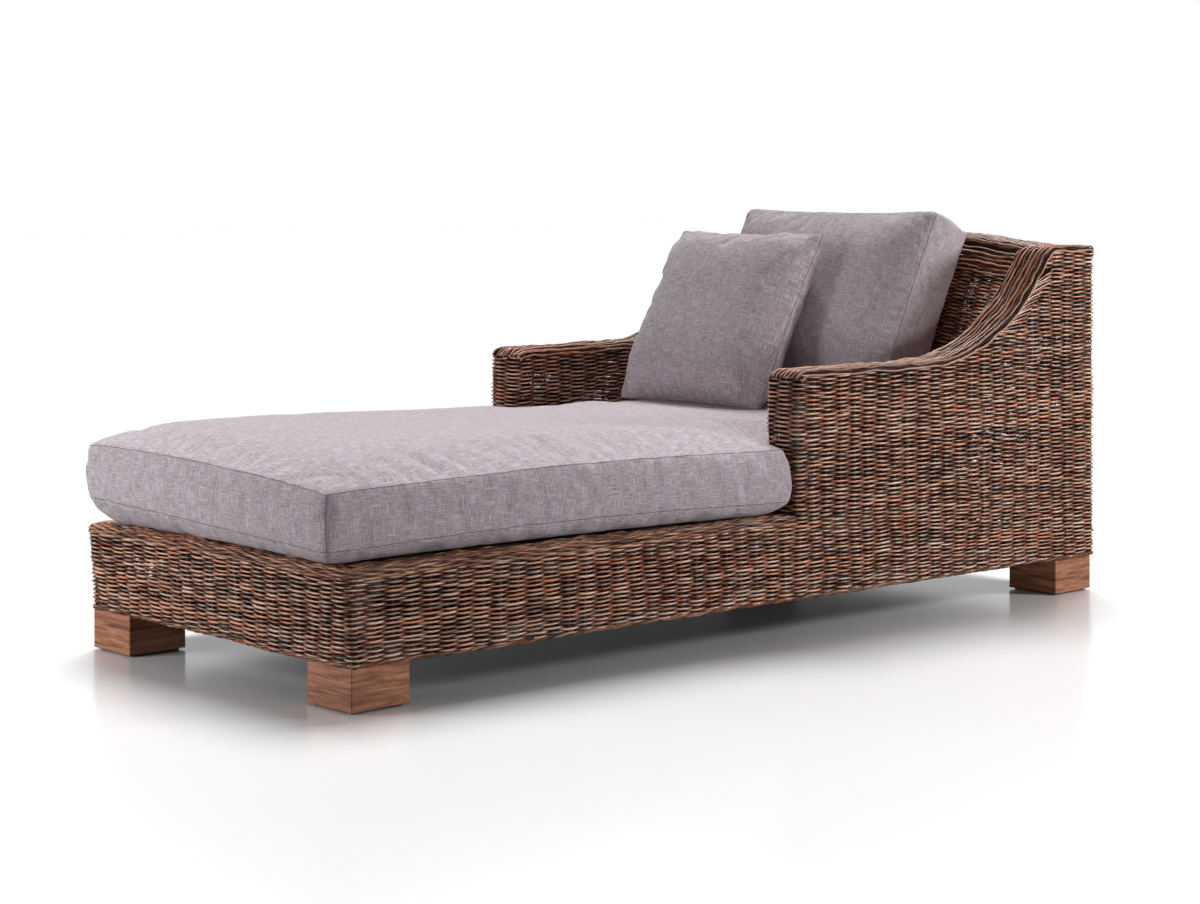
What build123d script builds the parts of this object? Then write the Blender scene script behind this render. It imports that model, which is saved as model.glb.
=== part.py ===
from build123d import *
from math import acos, atan, cos, degrees, radians, sin, sqrt, tan
import os

# Woven rattan sun lounger: a hardwood frame under a skin of round reed, with three loose cushions.
# Millimetres, +Z up. X runs across, +Y runs towards the head, and the floor is at zero. The origin is
# at the middle of the lounger's box, on the floor. A distance in this file is measured from the woven
# foot face towards the head, and an inset is measured in from a side face.

# Overall sizes
frame_length = 2000.0
foot_end_width = 832.0
side_taper_share = 0.05  # how far each side spreads per unit of length, towards the head
rim_height = 247.0
arm_height = 532.0
back_height = 765.0
crest_rise = 30.0  # the back's top edge is this much higher at its middle
arm_start = 1065.0
arm_thickness = 92.0
arm_nose_radius = 35.0
swoop_radius = 450.0
crest_radius = 60.0
crest_depth = 128.0  # level top of each rear corner
back_depth = 150.0  # the back's depth at its top, between the arms
back_lean = 26.0  # degrees from upright

# Woven skin
skin = 8.0
cap = 12.0
rim_width = 54.0
rim_thickness = 8.0
relief_depth = 3.5  # the coarse over-and-under pattern of the outer skins
relief_pitch = 104.0
relief_rows = 3  # between the feet and the rim
relief_border = 4.0

# Feet
foot_side = 127.0
foot_inset = 6.0
foot_height = 76.0
foot_edge = 1.5
glide_thickness = 4.0
glide_side = 110.0
glide_edge = 1.5
bolt_radius = 5.0
bolt_head_radius = 9.0
bolt_head_height = 7.0
bolt_length = 120.0
bolt_clearance = 0.4

# Timber
post = 45.0
rail_thickness = 25.0
rail_height = 40.0
pole_radius = 15.0
pole_gap = 0.5
ledger_width = 45.0
ledger_height = 32.0
beam_width = 45.0
slat_count = 8
slat_width = 110.0
slat_thickness = 15.0
slat_edge = 2.0
slat_end_gap = 0.5
head_rail_depth = 56.0
strut_width = 40.0
strut_depth = 25.0
strut_pitch = 250.0
crest_board_thickness = 18.0
crest_board_gap = 0.5

# Slat screws
screw_radius = 2.5
screw_head_radius = 5.0
screw_head_height = 3.0
screw_length = 34.0
screw_clearance = 0.2
screw_end_distance = 12.0

# Cushions
soft_gap = 0.3
cover = 2.0
boxing_bulge = 5.0
side_draw = 6.0

seat_overhang = 33.0
seat_foot_inset = 34.0
seat_ear_inset = 34.0
seat_fit = 8.0
seat_edge_lift = 28.0  # the lower seam's height over the deck
seat_boxing = 103.0
seat_crown = 34.0
seat_underside_inset = 30.0
seat_crown_inset = 220.0

back_cushion_width = 578.0
back_cushion_boxing = 118.0
back_cushion_foot = 147.0  # up the lean, from the deck to the cushion's lower edge
back_cushion_rise = 26.0  # up the lean, from the woven back's top to the cushion's upper edge
back_cushion_rear_crown = 32.0
back_cushion_front_crown = 44.0
back_crown_inset = 190.0

pillow_side = 426.0
pillow_half_thickness = 76.0
pillow_draw = 16.0
pillow_shift = 130.0
pillow_gap = 0.6
pillow_stand_off = 11.0  # between the two cushions' crowns, because the pillow leans back further
pillow_lean = 29.0  # degrees from upright
pillow_crown_inset = 185.0

crown_inset_shares = (0.14, 0.36, 0.68, 1.0)
crown_rise_shares = (0.45, 0.75, 0.93, 1.0)
pillow_inset_shares = (0.12, 0.32, 0.62, 1.0)
pillow_rise_shares = (0.38, 0.70, 0.92, 1.0)

# Places worked out from the sizes
overrun = 20.0
half_share = 0.5
foot_y = (seat_overhang - frame_length) / 2
foot_top = glide_thickness + foot_height
deck_top = rim_height
rail_top = rim_height - rim_thickness
ledger_top = deck_top - slat_thickness
side_angle = atan(side_taper_share)
swoop_turn = acos(1 - (back_height - arm_height) / (swoop_radius + crest_radius))
crest_start = frame_length - crest_depth
swoop_start = crest_start - (swoop_radius + crest_radius) * sin(swoop_turn)
rear_frame = frame_length - skin
lean = radians(back_lean)
panel_top = frame_length - back_depth
panel_foot = panel_top - (back_height - cap - deck_top) * tan(lean)
panel_reach = skin / cos(lean)
strut_reach = strut_depth / cos(lean)
seat_low_seam = deck_top + soft_gap + seat_edge_lift
seat_high_seam = seat_low_seam + seat_boxing
panel_length = (back_height - cap - deck_top) / cos(lean)
back_cushion_height = panel_length + back_cushion_rise - back_cushion_foot
rear_seam = soft_gap + back_cushion_rear_crown
front_seam = rear_seam + back_cushion_boxing
pillow_reach = front_seam + back_cushion_front_crown + pillow_stand_off + pillow_half_thickness
pillow_tilt = radians(pillow_lean)
pillow_height = seat_high_seam + seat_crown + pillow_gap + pillow_side / 2 * cos(pillow_tilt)
pillow_distance = panel_foot + ((pillow_height - deck_top) * sin(lean) - pillow_reach) / cos(lean)
slat_gap = (panel_foot - rim_width - slat_count * slat_width) / (slat_count + 1)


def half_width(distance):
    """Half the lounger's width over its skins, at a distance from the foot face."""
    return foot_end_width / 2 + side_taper_share * distance


head_half_width = half_width(frame_length)


def side_plan(start, stop, outer, inner):
    """Plan of a piece along the right side, between two insets."""
    with BuildLine() as outline:
        Polyline(
            (half_width(start) - outer, foot_y + start),
            (half_width(stop) - outer, foot_y + stop),
            (half_width(stop) - inner, foot_y + stop),
            (half_width(start) - inner, foot_y + start),
            close=True,
        )
    make_face(outline.edges())


def cross_plan(start, stop, inset):
    """Plan of a piece that runs from side to side, stopping at one inset."""
    with BuildLine() as outline:
        Polyline(
            (half_width(start) - inset, foot_y + start),
            (half_width(stop) - inset, foot_y + stop),
            (inset - half_width(stop), foot_y + stop),
            (inset - half_width(start), foot_y + start),
            close=True,
        )
    make_face(outline.edges())


def profile_plane():
    """Upright lengthwise plane, whose sketch axes are the distance and the height."""
    return Plane(origin=(0, foot_y, 0), x_dir=(0, 1, 0), z_dir=(1, 0, 0))


def lean_plane(offset):
    """Plane along the inner back, offset out of it towards the foot; its sketch's Y runs up the back."""
    out = Vector(0, -cos(lean), sin(lean))
    return Plane(origin=Vector(0, foot_y + panel_foot, deck_top) + out * offset, x_dir=(1, 0, 0), z_dir=out)


def pillow_plane(offset):
    """Plane through the throw pillow's middle, offset out of it; its sketch's Y runs up the pillow."""
    out = Vector(0, -cos(pillow_tilt), sin(pillow_tilt))
    middle = Vector(-pillow_shift, foot_y + pillow_distance, pillow_height)
    return Plane(origin=middle + out * offset, x_dir=(1, 0, 0), z_dir=out)


def arm_face(drop, mode=Mode.ADD):
    """Side view of the arm, from the rails up to its sweeping top line, lowered by drop."""
    with BuildLine() as outline:
        nose = Line((arm_start + drop, rail_top), (arm_start + drop, arm_height - arm_nose_radius))
        JernArc(nose @ 1, (0, 1), arm_nose_radius - drop, -90)
        level = Line((arm_start + arm_nose_radius, arm_height - drop), (swoop_start, arm_height - drop))
        swoop = JernArc(level @ 1, (1, 0), swoop_radius + drop, degrees(swoop_turn))
        crest = JernArc(swoop @ 1, swoop % 1, crest_radius - drop, -degrees(swoop_turn))
        Polyline(crest @ 1, (frame_length, back_height - drop), (frame_length, rail_top), nose @ 0)
    make_face(outline.edges(), mode=mode)
    front_height = arm_height - arm_nose_radius - rail_top
    with Locations((arm_start + arm_nose_radius / 2, rail_top + front_height / 2)):
        Rectangle(arm_nose_radius, front_height, mode=mode)


def crest_outline(drop, low):
    """Face across the lounger from a height up to the back's arched top, lowered by drop."""
    inner = half_width(panel_top) - arm_thickness
    top = back_height - drop
    with BuildLine() as outline:
        arch = ThreePointArc((-inner, top), (0, top + crest_rise), (inner, top))
        Polyline(
            arch @ 1,
            (head_half_width, top),
            (head_half_width, low),
            (-head_half_width, low),
            (-head_half_width, top),
            arch @ 0,
        )
    make_face(outline.edges())


def lean_face(near, far):
    """Side view of what leans along the inner back, between two level reaches behind its front."""
    top = back_height + crest_rise
    run = (top - deck_top) * tan(lean)
    with BuildLine() as outline:
        Polyline(
            (panel_foot + near, deck_top),
            (panel_foot + far, deck_top),
            (panel_foot + far + run, top),
            (panel_foot + near + run, top),
            close=True,
        )
    make_face(outline.edges())


def save(part, name):
    """Labels one finished piece and writes it."""
    part.label = name
    export_step(part, f"parts/{name}.step")


def save_pair(right_part, name):
    """Writes a right-hand piece and its mirror image."""
    save(right_part, f"{name}_right")
    save(mirror(right_part, about=Plane.YZ), f"{name}_left")


def side_bar(name, start, stop, outer, inner, low, high):
    """A pair of straight timbers along the sides, between two insets and two heights."""
    with BuildPart() as bar:
        with BuildSketch(Plane.XY.offset(low)):
            side_plan(start, stop, outer, inner)
        extrude(amount=high - low)
    save_pair(bar.part, name)


def cross_bar(name, start, stop, inset, low, high):
    """A straight timber from side to side."""
    with BuildPart() as bar:
        with BuildSketch(Plane.XY.offset(low)):
            cross_plan(start, stop, inset)
        extrude(amount=high - low)
    save(bar.part, name)


def bolt_place(distance):
    """Where a foot's bolt stands: the middle of the post above it."""
    return (half_width(distance) - skin - post / 2, foot_y + distance)


def make_foot(name, start, bolt_distance):
    """A square block foot with a counterbored hole for its bolt."""
    outer = half_width(start) - foot_inset
    bolt_x, bolt_y = bolt_place(bolt_distance)
    with BuildPart() as foot:
        with BuildSketch(Plane.XY.offset(glide_thickness)):
            with Locations((outer - foot_side / 2, foot_y + start + foot_side / 2)):
                Rectangle(foot_side, foot_side)
        extrude(amount=foot_height)
        chamfer(foot.edges().filter_by(Axis.Z), foot_edge)
        with Locations((bolt_x, bolt_y, foot_top)):
            Hole(bolt_radius + bolt_clearance, depth=foot_height + overrun)
        with Locations((bolt_x, bolt_y, 0)):
            Cylinder(
                bolt_head_radius + bolt_clearance,
                glide_thickness + bolt_head_height,
                align=(Align.CENTER, Align.CENTER, Align.MIN),
                mode=Mode.SUBTRACT,
            )
    save_pair(foot.part, name)


def make_glide(name, start):
    """A flat pad under one foot."""
    middle = foot_inset + foot_side / 2
    with BuildPart() as glide:
        with BuildSketch():
            with Locations((half_width(start) - middle, foot_y + start + foot_side / 2)):
                Rectangle(glide_side, glide_side)
        extrude(amount=glide_thickness)
        chamfer(glide.edges().group_by(Axis.Z)[0], glide_edge)
    save_pair(glide.part, name)


def make_bolts(distances):
    """One bolt up through each foot into its post."""
    seat = glide_thickness + bolt_head_height
    up = (Align.CENTER, Align.CENTER, Align.MIN)
    down = (Align.CENTER, Align.CENTER, Align.MAX)
    with BuildPart() as bolts:
        for distance in distances:
            x, y = bolt_place(distance)
            with Locations((x, y, seat), (-x, y, seat)):
                Cylinder(bolt_radius, bolt_length, align=up)
                Cylinder(bolt_head_radius, bolt_head_height, align=down)
    save(bolts.part, "foot_bolts")


def make_post(name, start, high, bolt_distance):
    """A corner post with the hole that its foot's bolt screws into."""
    bolt_x, bolt_y = bolt_place(bolt_distance)
    with BuildPart() as corner:
        with BuildSketch(Plane.XY.offset(foot_top)):
            side_plan(start, start + post, skin, skin + post)
        extrude(amount=high - foot_top)
        with Locations((bolt_x, bolt_y, foot_top)):
            Cylinder(
                bolt_radius + bolt_clearance,
                2 * (bolt_length + bolt_head_height + glide_thickness - foot_top + bolt_clearance),
                mode=Mode.SUBTRACT,
            )
    save_pair(corner.part, name)


def make_arm_pole():
    """The bent rattan pole under each arm's top."""
    drop = cap + pole_radius + pole_gap
    along = Vector(sin(side_angle), cos(side_angle), 0)
    plane = Plane(
        origin=(half_width(0) - arm_thickness / 2, foot_y, 0),
        x_dir=along,
        z_dir=(cos(side_angle), -sin(side_angle), 0),
    )
    stretch = 1 / cos(side_angle)
    with BuildPart() as pole:
        with BuildLine(plane):
            level = Line(
                ((arm_start + arm_nose_radius) * stretch, arm_height - drop),
                (swoop_start * stretch, arm_height - drop),
            )
            swoop = JernArc(level @ 1, level % 1, swoop_radius + drop, degrees(swoop_turn))
            crest = JernArc(swoop @ 1, swoop % 1, crest_radius - drop, -degrees(swoop_turn))
            pole_end = (rear_frame - post - pole_radius * side_taper_share) * stretch
            Line(crest @ 1, (pole_end, back_height - drop))
        with BuildSketch(Plane(origin=level @ 0, z_dir=level % 0)):
            Circle(pole_radius)
        sweep()
    save_pair(pole.part, "arm_pole")


def screw_places():
    """Middle of each slat, and how far out its two screws stand."""
    places = []
    for i in range(slat_count):
        start = rim_width + slat_gap + i * (slat_width + slat_gap)
        middle = start + slat_width / 2
        places.append((half_width(start) - rim_width - slat_end_gap - screw_end_distance, foot_y + middle))
    return places


def make_ledgers():
    """The strips along the side rails that the slats lie on, drilled for the slat screws."""
    depth = screw_length - slat_thickness + screw_clearance
    with BuildPart() as ledger:
        with BuildSketch(Plane.XY.offset(ledger_top - ledger_height)):
            side_plan(skin + post, panel_foot, skin + rail_thickness, skin + rail_thickness + ledger_width)
        extrude(amount=ledger_height)
        with Locations(*[(x, y, ledger_top) for x, y in screw_places()]):
            Cylinder(screw_radius + screw_clearance, 2 * depth, mode=Mode.SUBTRACT)
    save_pair(ledger.part, "slat_ledger")


def make_beam():
    """The beam under the middle of the slats."""
    start = skin + rail_thickness
    with BuildPart() as beam:
        with BuildSketch(Plane.XY.offset(ledger_top - ledger_height)):
            with Locations((0, foot_y + (start + panel_foot) / 2)):
                Rectangle(beam_width, panel_foot - start)
        extrude(amount=ledger_height)
    save(beam.part, "centre_beam")


def make_slats():
    """The deck's slats, each drilled for a screw at both ends."""
    for i, (screw_x, screw_y) in enumerate(screw_places()):
        start = rim_width + slat_gap + i * (slat_width + slat_gap)
        with BuildPart() as slat:
            with BuildSketch(Plane.XY.offset(ledger_top)):
                cross_plan(start, start + slat_width, rim_width + slat_end_gap)
            extrude(amount=slat_thickness)
            chamfer(slat.faces().sort_by(Axis.Z)[-1].edges(), slat_edge)
            with Locations((screw_x, screw_y, deck_top), (-screw_x, screw_y, deck_top)):
                CounterBoreHole(
                    screw_radius + screw_clearance,
                    screw_head_radius + screw_clearance,
                    screw_head_height,
                    depth=slat_thickness + overrun,
                )
        save(slat.part, f"deck_slat_{i + 1}")


def make_slat_screws():
    """Two countersunk screws through each slat into the ledgers."""
    down = (Align.CENTER, Align.CENTER, Align.MAX)
    with BuildPart() as screws:
        for x, y in screw_places():
            with Locations((x, y, deck_top), (-x, y, deck_top)):
                Cylinder(screw_radius, screw_length, align=down)
                Cylinder(screw_head_radius, screw_head_height, align=down)
    save(screws.part, "slat_screws")


def make_struts():
    """Three leaning struts behind the inner back, from the head rail up to the crest board."""
    for name, x in (("left", -strut_pitch), ("middle", 0), ("right", strut_pitch)):
        with BuildPart() as strut:
            with BuildSketch(profile_plane().offset(x - strut_width / 2)):
                lean_face(panel_reach, panel_reach + strut_reach)
            extrude(amount=strut_width)
            with BuildSketch(Plane.XZ.offset(-foot_y)):
                crest_outline(cap + crest_board_thickness, foot_top)
            extrude(amount=-frame_length, mode=Mode.INTERSECT)
        save(strut.part, f"back_strut_{name}")


def make_crest_board():
    """The arched board between the rear posts, notched round the poles, that carries the back's top."""
    with BuildPart() as board:
        with BuildSketch(Plane.XZ.offset(-foot_y)):
            crest_outline(cap, foot_top)
        extrude(amount=-frame_length)
        with BuildSketch(Plane.XZ.offset(-foot_y)):
            crest_outline(cap + crest_board_thickness, foot_top)
        extrude(amount=-frame_length, mode=Mode.SUBTRACT)
        with BuildSketch():
            cross_plan(crest_start, rear_frame - post, arm_thickness / 2 + pole_radius + crest_board_gap)
            cross_plan(rear_frame - post, rear_frame, skin + post)
        extrude(amount=back_height + crest_rise, mode=Mode.INTERSECT)
    save(board.part, "crest_board")


def side_top(distance):
    """How high a side's hollows may reach at a distance."""
    if distance < arm_start:
        return rail_top
    radius = swoop_radius + cap
    run = min(distance - swoop_start, radius * sin(swoop_turn))
    return arm_height + swoop_radius - (sqrt(radius**2 - run**2) if run > 0 else radius)


def hollow_places(length, count, top_at):
    """Middles of the hollows of the coarse weave: every second cell, one row over and the next under."""
    pitch = length / count
    row = (rail_top - foot_top) / relief_rows
    places = []
    for i in range(count):
        top = top_at(i * pitch)
        for k in range(int((top - foot_top + relief_border) / row)):
            if (i + k) % 2 == 0:
                places.append(((i + half_share) * pitch, foot_top + (k + half_share) * row))
    return places


def cross_hollows(width, top, start):
    """Hollows of the coarse weave in a face across the lounger, cut from start towards the head."""
    count = round(width / relief_pitch)
    row = (rail_top - foot_top) / relief_rows
    places = hollow_places(width, count, lambda across: top)
    with BuildPart() as hollows:
        with BuildSketch(Plane.XZ.offset(-foot_y - start)):
            with Locations(*[(across - width / 2, height) for across, height in places]):
                Rectangle(width / count - 2 * relief_border, row - 2 * relief_border)
        extrude(amount=-relief_depth)
    return hollows.part


def make_side_weave():
    """The woven outer side, from the foot face to the head, rising into the arm."""
    count = round(frame_length / relief_pitch)
    width = frame_length / count - 2 * relief_border
    height = (rail_top - foot_top) / relief_rows - 2 * relief_border
    with BuildPart() as hollows:
        with BuildSketch(profile_plane()):
            with Locations(*hollow_places(frame_length, count, side_top)):
                Rectangle(width, height)
        extrude(amount=head_half_width)
        with BuildSketch():
            side_plan(0, frame_length, 0, relief_depth)
        extrude(amount=back_height, mode=Mode.INTERSECT)
    with BuildPart() as weave:
        with BuildSketch(profile_plane()):
            arm_face(cap)
            with Locations((frame_length / 2, (foot_top + rail_top) / 2)):
                Rectangle(frame_length, rail_top - foot_top)
        extrude(amount=head_half_width)
        with BuildSketch():
            side_plan(0, frame_length, 0, skin)
        extrude(amount=back_height, mode=Mode.INTERSECT)
        add(hollows.part, mode=Mode.SUBTRACT)
    save_pair(weave.part, "side_weave")


def make_arm_inner_weave():
    """The woven inside of each arm, with the arm's front face."""
    stop = panel_top + panel_reach
    with BuildPart() as weave:
        with BuildSketch(profile_plane()):
            arm_face(cap)
        extrude(amount=head_half_width)
        with BuildSketch(Plane.XY.offset(deck_top)):
            side_plan(arm_start, stop, arm_thickness - skin, arm_thickness)
            side_plan(arm_start, arm_start + skin, skin, arm_thickness)
        extrude(amount=back_height, mode=Mode.INTERSECT)
    save_pair(weave.part, "arm_inner_weave")


def make_arm_cap():
    """The woven top of each arm, which sweeps up to the back's corner."""
    with BuildPart() as arm_cap:
        with BuildSketch(profile_plane()):
            arm_face(0)
            arm_face(cap, mode=Mode.SUBTRACT)
        extrude(amount=head_half_width)
        with BuildSketch():
            side_plan(0, frame_length, 0, arm_thickness)
        extrude(amount=back_height, mode=Mode.INTERSECT)
    save_pair(arm_cap.part, "arm_cap")


def make_front_weave():
    """The woven foot end, between the two sides."""
    with BuildPart() as front:
        with BuildSketch(Plane.XY.offset(foot_top)):
            cross_plan(0, skin, skin)
        extrude(amount=rail_top - foot_top)
        add(cross_hollows(2 * (half_width(0) - skin), rail_top, 0), mode=Mode.SUBTRACT)
    save(front.part, "front_weave")


def make_back_outer_weave():
    """The woven outer face of the back, down to the feet."""
    hollows = cross_hollows(2 * (head_half_width - skin), back_height - cap, frame_length - relief_depth)
    with BuildPart() as outer:
        with BuildSketch(Plane.XZ.offset(-foot_y)):
            crest_outline(cap, foot_top)
        extrude(amount=-frame_length)
        with BuildSketch():
            cross_plan(rear_frame, frame_length, skin)
        extrude(amount=back_height + crest_rise, mode=Mode.INTERSECT)
        add(hollows, mode=Mode.SUBTRACT)
    save(outer.part, "back_outer_weave")


def make_back_inner_weave():
    """The leaning woven face behind the back cushion."""
    with BuildPart() as inner:
        with BuildSketch(profile_plane().offset(-head_half_width)):
            lean_face(0, panel_reach)
        extrude(amount=2 * head_half_width)
        with BuildSketch(Plane.XZ.offset(-foot_y)):
            crest_outline(cap, foot_top)
        extrude(amount=-frame_length, mode=Mode.INTERSECT)
        with BuildSketch():
            cross_plan(panel_foot, panel_top + panel_reach, arm_thickness)
        extrude(amount=back_height + crest_rise, mode=Mode.INTERSECT)
    save(inner.part, "back_inner_weave")


def make_back_cap():
    """The woven, arched top of the back, between the arms."""
    with BuildPart() as crest_cap:
        with BuildSketch(Plane.XZ.offset(-foot_y)):
            crest_outline(0, foot_top)
        extrude(amount=-frame_length)
        with BuildSketch(Plane.XZ.offset(-foot_y)):
            crest_outline(cap, foot_top)
        extrude(amount=-frame_length, mode=Mode.SUBTRACT)
        with BuildSketch():
            cross_plan(panel_top, frame_length, arm_thickness)
        extrude(amount=back_height + crest_rise, mode=Mode.INTERSECT)
    save(crest_cap.part, "back_cap")


def make_rims():
    """The woven ledge round the foot end, beside the seat cushion."""
    with BuildPart() as side:
        with BuildSketch(Plane.XY.offset(rail_top)):
            side_plan(0, arm_start, 0, rim_width)
        extrude(amount=rim_thickness)
    save_pair(side.part, "rim")
    with BuildPart() as front:
        with BuildSketch(Plane.XY.offset(rail_top)):
            cross_plan(0, rim_width, rim_width)
        extrude(amount=rim_thickness)
    save(front.part, "rim_front")


def seat_outline(height, inset):
    """T-shaped plan of the seat cushion at one height, drawn in by inset all round."""
    front = foot_y - seat_overhang + boxing_bulge + inset
    ear = foot_y + arm_start - seat_fit - inset
    rear = panel_foot + (height - deck_top) * tan(lean) - seat_fit
    front_half = half_width(0) - seat_foot_inset - inset
    ear_half = half_width(arm_start) - seat_ear_inset - inset
    neck_half = half_width(arm_start) - arm_thickness - seat_fit - inset
    rear_half = half_width(rear) - arm_thickness - seat_fit - inset
    rear_y = foot_y + rear - inset
    with BuildLine() as outline:
        ThreePointArc((-front_half, front), (0, front + side_draw), (front_half, front))
        middle = ((front_half + ear_half) / 2 - side_draw, (front + ear) / 2)
        ThreePointArc((front_half, front), middle, (ear_half, ear))
        Polyline(
            (ear_half, ear),
            (neck_half, ear),
            (rear_half, rear_y),
            (-rear_half, rear_y),
            (-neck_half, ear),
            (-ear_half, ear),
        )
        ThreePointArc((-ear_half, ear), (-middle[0], middle[1]), (-front_half, front))
    make_face(outline.edges())


def seat_form(shrink, mode=Mode.ADD):
    """The crowned box of the seat cushion, made smaller by shrink on every side."""
    steps = [
        (seat_underside_inset, deck_top + soft_gap + shrink),
        (0, seat_low_seam),
        (-boxing_bulge, (seat_low_seam + seat_high_seam) / 2),
        (0, seat_high_seam),
    ]
    for step, share in zip(crown_inset_shares, crown_rise_shares):
        steps.append((step * seat_crown_inset, seat_high_seam + share * seat_crown - shrink))
    sections = []
    for inset, height in steps:
        with BuildSketch(Plane.XY.offset(height)) as section:
            seat_outline(height, inset + shrink)
        sections.append(section.sketch.face())
    loft(sections, ruled=True, mode=mode)


def box_outline(middle, width, foot, height, inset, draw):
    """Upright rectangle with drawn-in sides, on the lean plane's axes."""
    left = middle - width / 2 + inset
    right = middle + width / 2 - inset
    low = foot + inset
    high = foot + height - inset
    draw = draw * (right - left) / width
    with BuildLine() as outline:
        ThreePointArc((left, low), (middle, low + draw), (right, low))
        ThreePointArc((right, low), (right - draw, (low + high) / 2), (right, high))
        ThreePointArc((right, high), (middle, high - draw), (left, high))
        ThreePointArc((left, high), (left + draw, (low + high) / 2), (left, low))
    make_face(outline.edges())


def back_cushion_form(shrink, mode=Mode.ADD):
    """The crowned box of the back cushion, lying on the leaning inner back."""
    steps = [(0, rear_seam), (-boxing_bulge, (rear_seam + front_seam) / 2), (0, front_seam)]
    for step, share in zip(crown_inset_shares, crown_rise_shares):
        inset = step * back_crown_inset
        steps.insert(0, (inset, rear_seam - share * back_cushion_rear_crown + shrink))
        steps.append((inset, front_seam + share * back_cushion_front_crown - shrink))
    sections = []
    for step, offset in steps:
        inset = step + shrink
        with BuildSketch(lean_plane(offset)) as section:
            box_outline(0, back_cushion_width, back_cushion_foot, back_cushion_height, inset, side_draw)
        sections.append(section.sketch.face())
    loft(sections, ruled=True, mode=mode)


def pillow_form(shrink, mode=Mode.ADD):
    """The square knife-edged throw pillow, lying on the back cushion's front."""
    steps = [(0, 0)]
    for step, share in zip(pillow_inset_shares, pillow_rise_shares):
        inset = step * pillow_crown_inset
        steps.insert(0, (inset, shrink - share * pillow_half_thickness))
        steps.append((inset, share * pillow_half_thickness - shrink))
    sections = []
    for step, offset in steps:
        inset = step + shrink
        with BuildSketch(pillow_plane(offset)) as section:
            box_outline(0, pillow_side, -pillow_side / 2, pillow_side, inset, pillow_draw)
        sections.append(section.sketch.face())
    loft(sections, ruled=True, mode=mode)


def make_cushion(name, form):
    """A sewn cover, closed all round, and the filling inside it."""
    with BuildPart() as shell:
        form(0)
        form(cover, mode=Mode.SUBTRACT)
    save(shell.part, f"{name}_cover")
    with BuildPart() as filling:
        form(cover + soft_gap)
    save(filling.part, f"{name}_filling")


os.makedirs("parts", exist_ok=True)

front_bolt = skin + post / 2
rear_bolt = rear_frame - post / 2
rear_foot = frame_length - foot_inset - foot_side
for end, foot_start, bolt_distance in (("front", foot_inset, front_bolt), ("rear", rear_foot, rear_bolt)):
    make_foot(f"foot_{end}", foot_start, bolt_distance)
    make_glide(f"glide_{end}", foot_start)
make_bolts((front_bolt, rear_bolt))
make_post("front_post", skin, rail_top, front_bolt)
make_post("rear_post", rear_frame - post, back_height - cap, rear_bolt)

rail_start = skin + post
rail_stop = rear_frame - post
rail_inner = skin + rail_thickness
side_bar("side_rail_lower", rail_start, rail_stop, skin, rail_inner, foot_top, foot_top + rail_height)
side_bar("side_rail_upper", rail_start, rail_stop, skin, rail_inner, rail_top - rail_height, rail_top)
cross_bar("front_rail_lower", skin, rail_inner, skin + post, foot_top, foot_top + rail_height)
cross_bar("front_rail_upper", skin, rail_inner, skin + post, rail_top - rail_height, rail_top)
rear_rail_start = rear_frame - rail_thickness
cross_bar("rear_rail", rear_rail_start, rear_frame, skin + post, foot_top, foot_top + rail_height)
head_rail_stop = panel_foot + head_rail_depth
cross_bar("head_rail", panel_foot, head_rail_stop, rail_inner, rail_top - rail_height, deck_top)
pole_underside = arm_height - cap - pole_gap - 2 * pole_radius
arm_post_start = arm_start + skin
side_bar("arm_post", arm_post_start, arm_post_start + post, skin, skin + post, rail_top, pole_underside)
make_arm_pole()
make_ledgers()
make_beam()
make_slats()
make_slat_screws()
make_struts()
make_crest_board()

make_side_weave()
make_arm_inner_weave()
make_arm_cap()
make_front_weave()
make_back_outer_weave()
make_back_inner_weave()
make_back_cap()
make_rims()

make_cushion("seat_cushion", seat_form)
make_cushion("back_cushion", back_cushion_form)
make_cushion("throw_pillow", pillow_form)
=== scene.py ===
import bpy
import math
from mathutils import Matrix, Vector, noise
from mathutils.bvhtree import BVHTree
from mathutils.kdtree import KDTree


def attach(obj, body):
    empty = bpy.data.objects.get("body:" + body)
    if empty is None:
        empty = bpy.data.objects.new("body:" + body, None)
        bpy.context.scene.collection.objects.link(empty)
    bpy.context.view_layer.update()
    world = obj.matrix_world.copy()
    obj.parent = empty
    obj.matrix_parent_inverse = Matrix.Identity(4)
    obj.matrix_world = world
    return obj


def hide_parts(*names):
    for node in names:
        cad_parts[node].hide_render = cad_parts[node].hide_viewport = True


# Woven sun lounger, dressed: round reed over the frame, walnut feet and three linen cushions.
# Metres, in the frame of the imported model. A distance is measured from the woven foot face towards the head.

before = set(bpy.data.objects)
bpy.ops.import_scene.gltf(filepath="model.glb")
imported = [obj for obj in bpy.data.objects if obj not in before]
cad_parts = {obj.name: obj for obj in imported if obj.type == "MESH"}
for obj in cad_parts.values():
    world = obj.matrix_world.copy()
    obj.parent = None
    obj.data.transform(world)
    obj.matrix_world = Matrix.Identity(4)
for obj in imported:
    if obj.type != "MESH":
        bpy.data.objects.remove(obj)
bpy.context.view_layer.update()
scene = bpy.context.scene
scene.view_settings.view_transform = "Standard"

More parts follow.
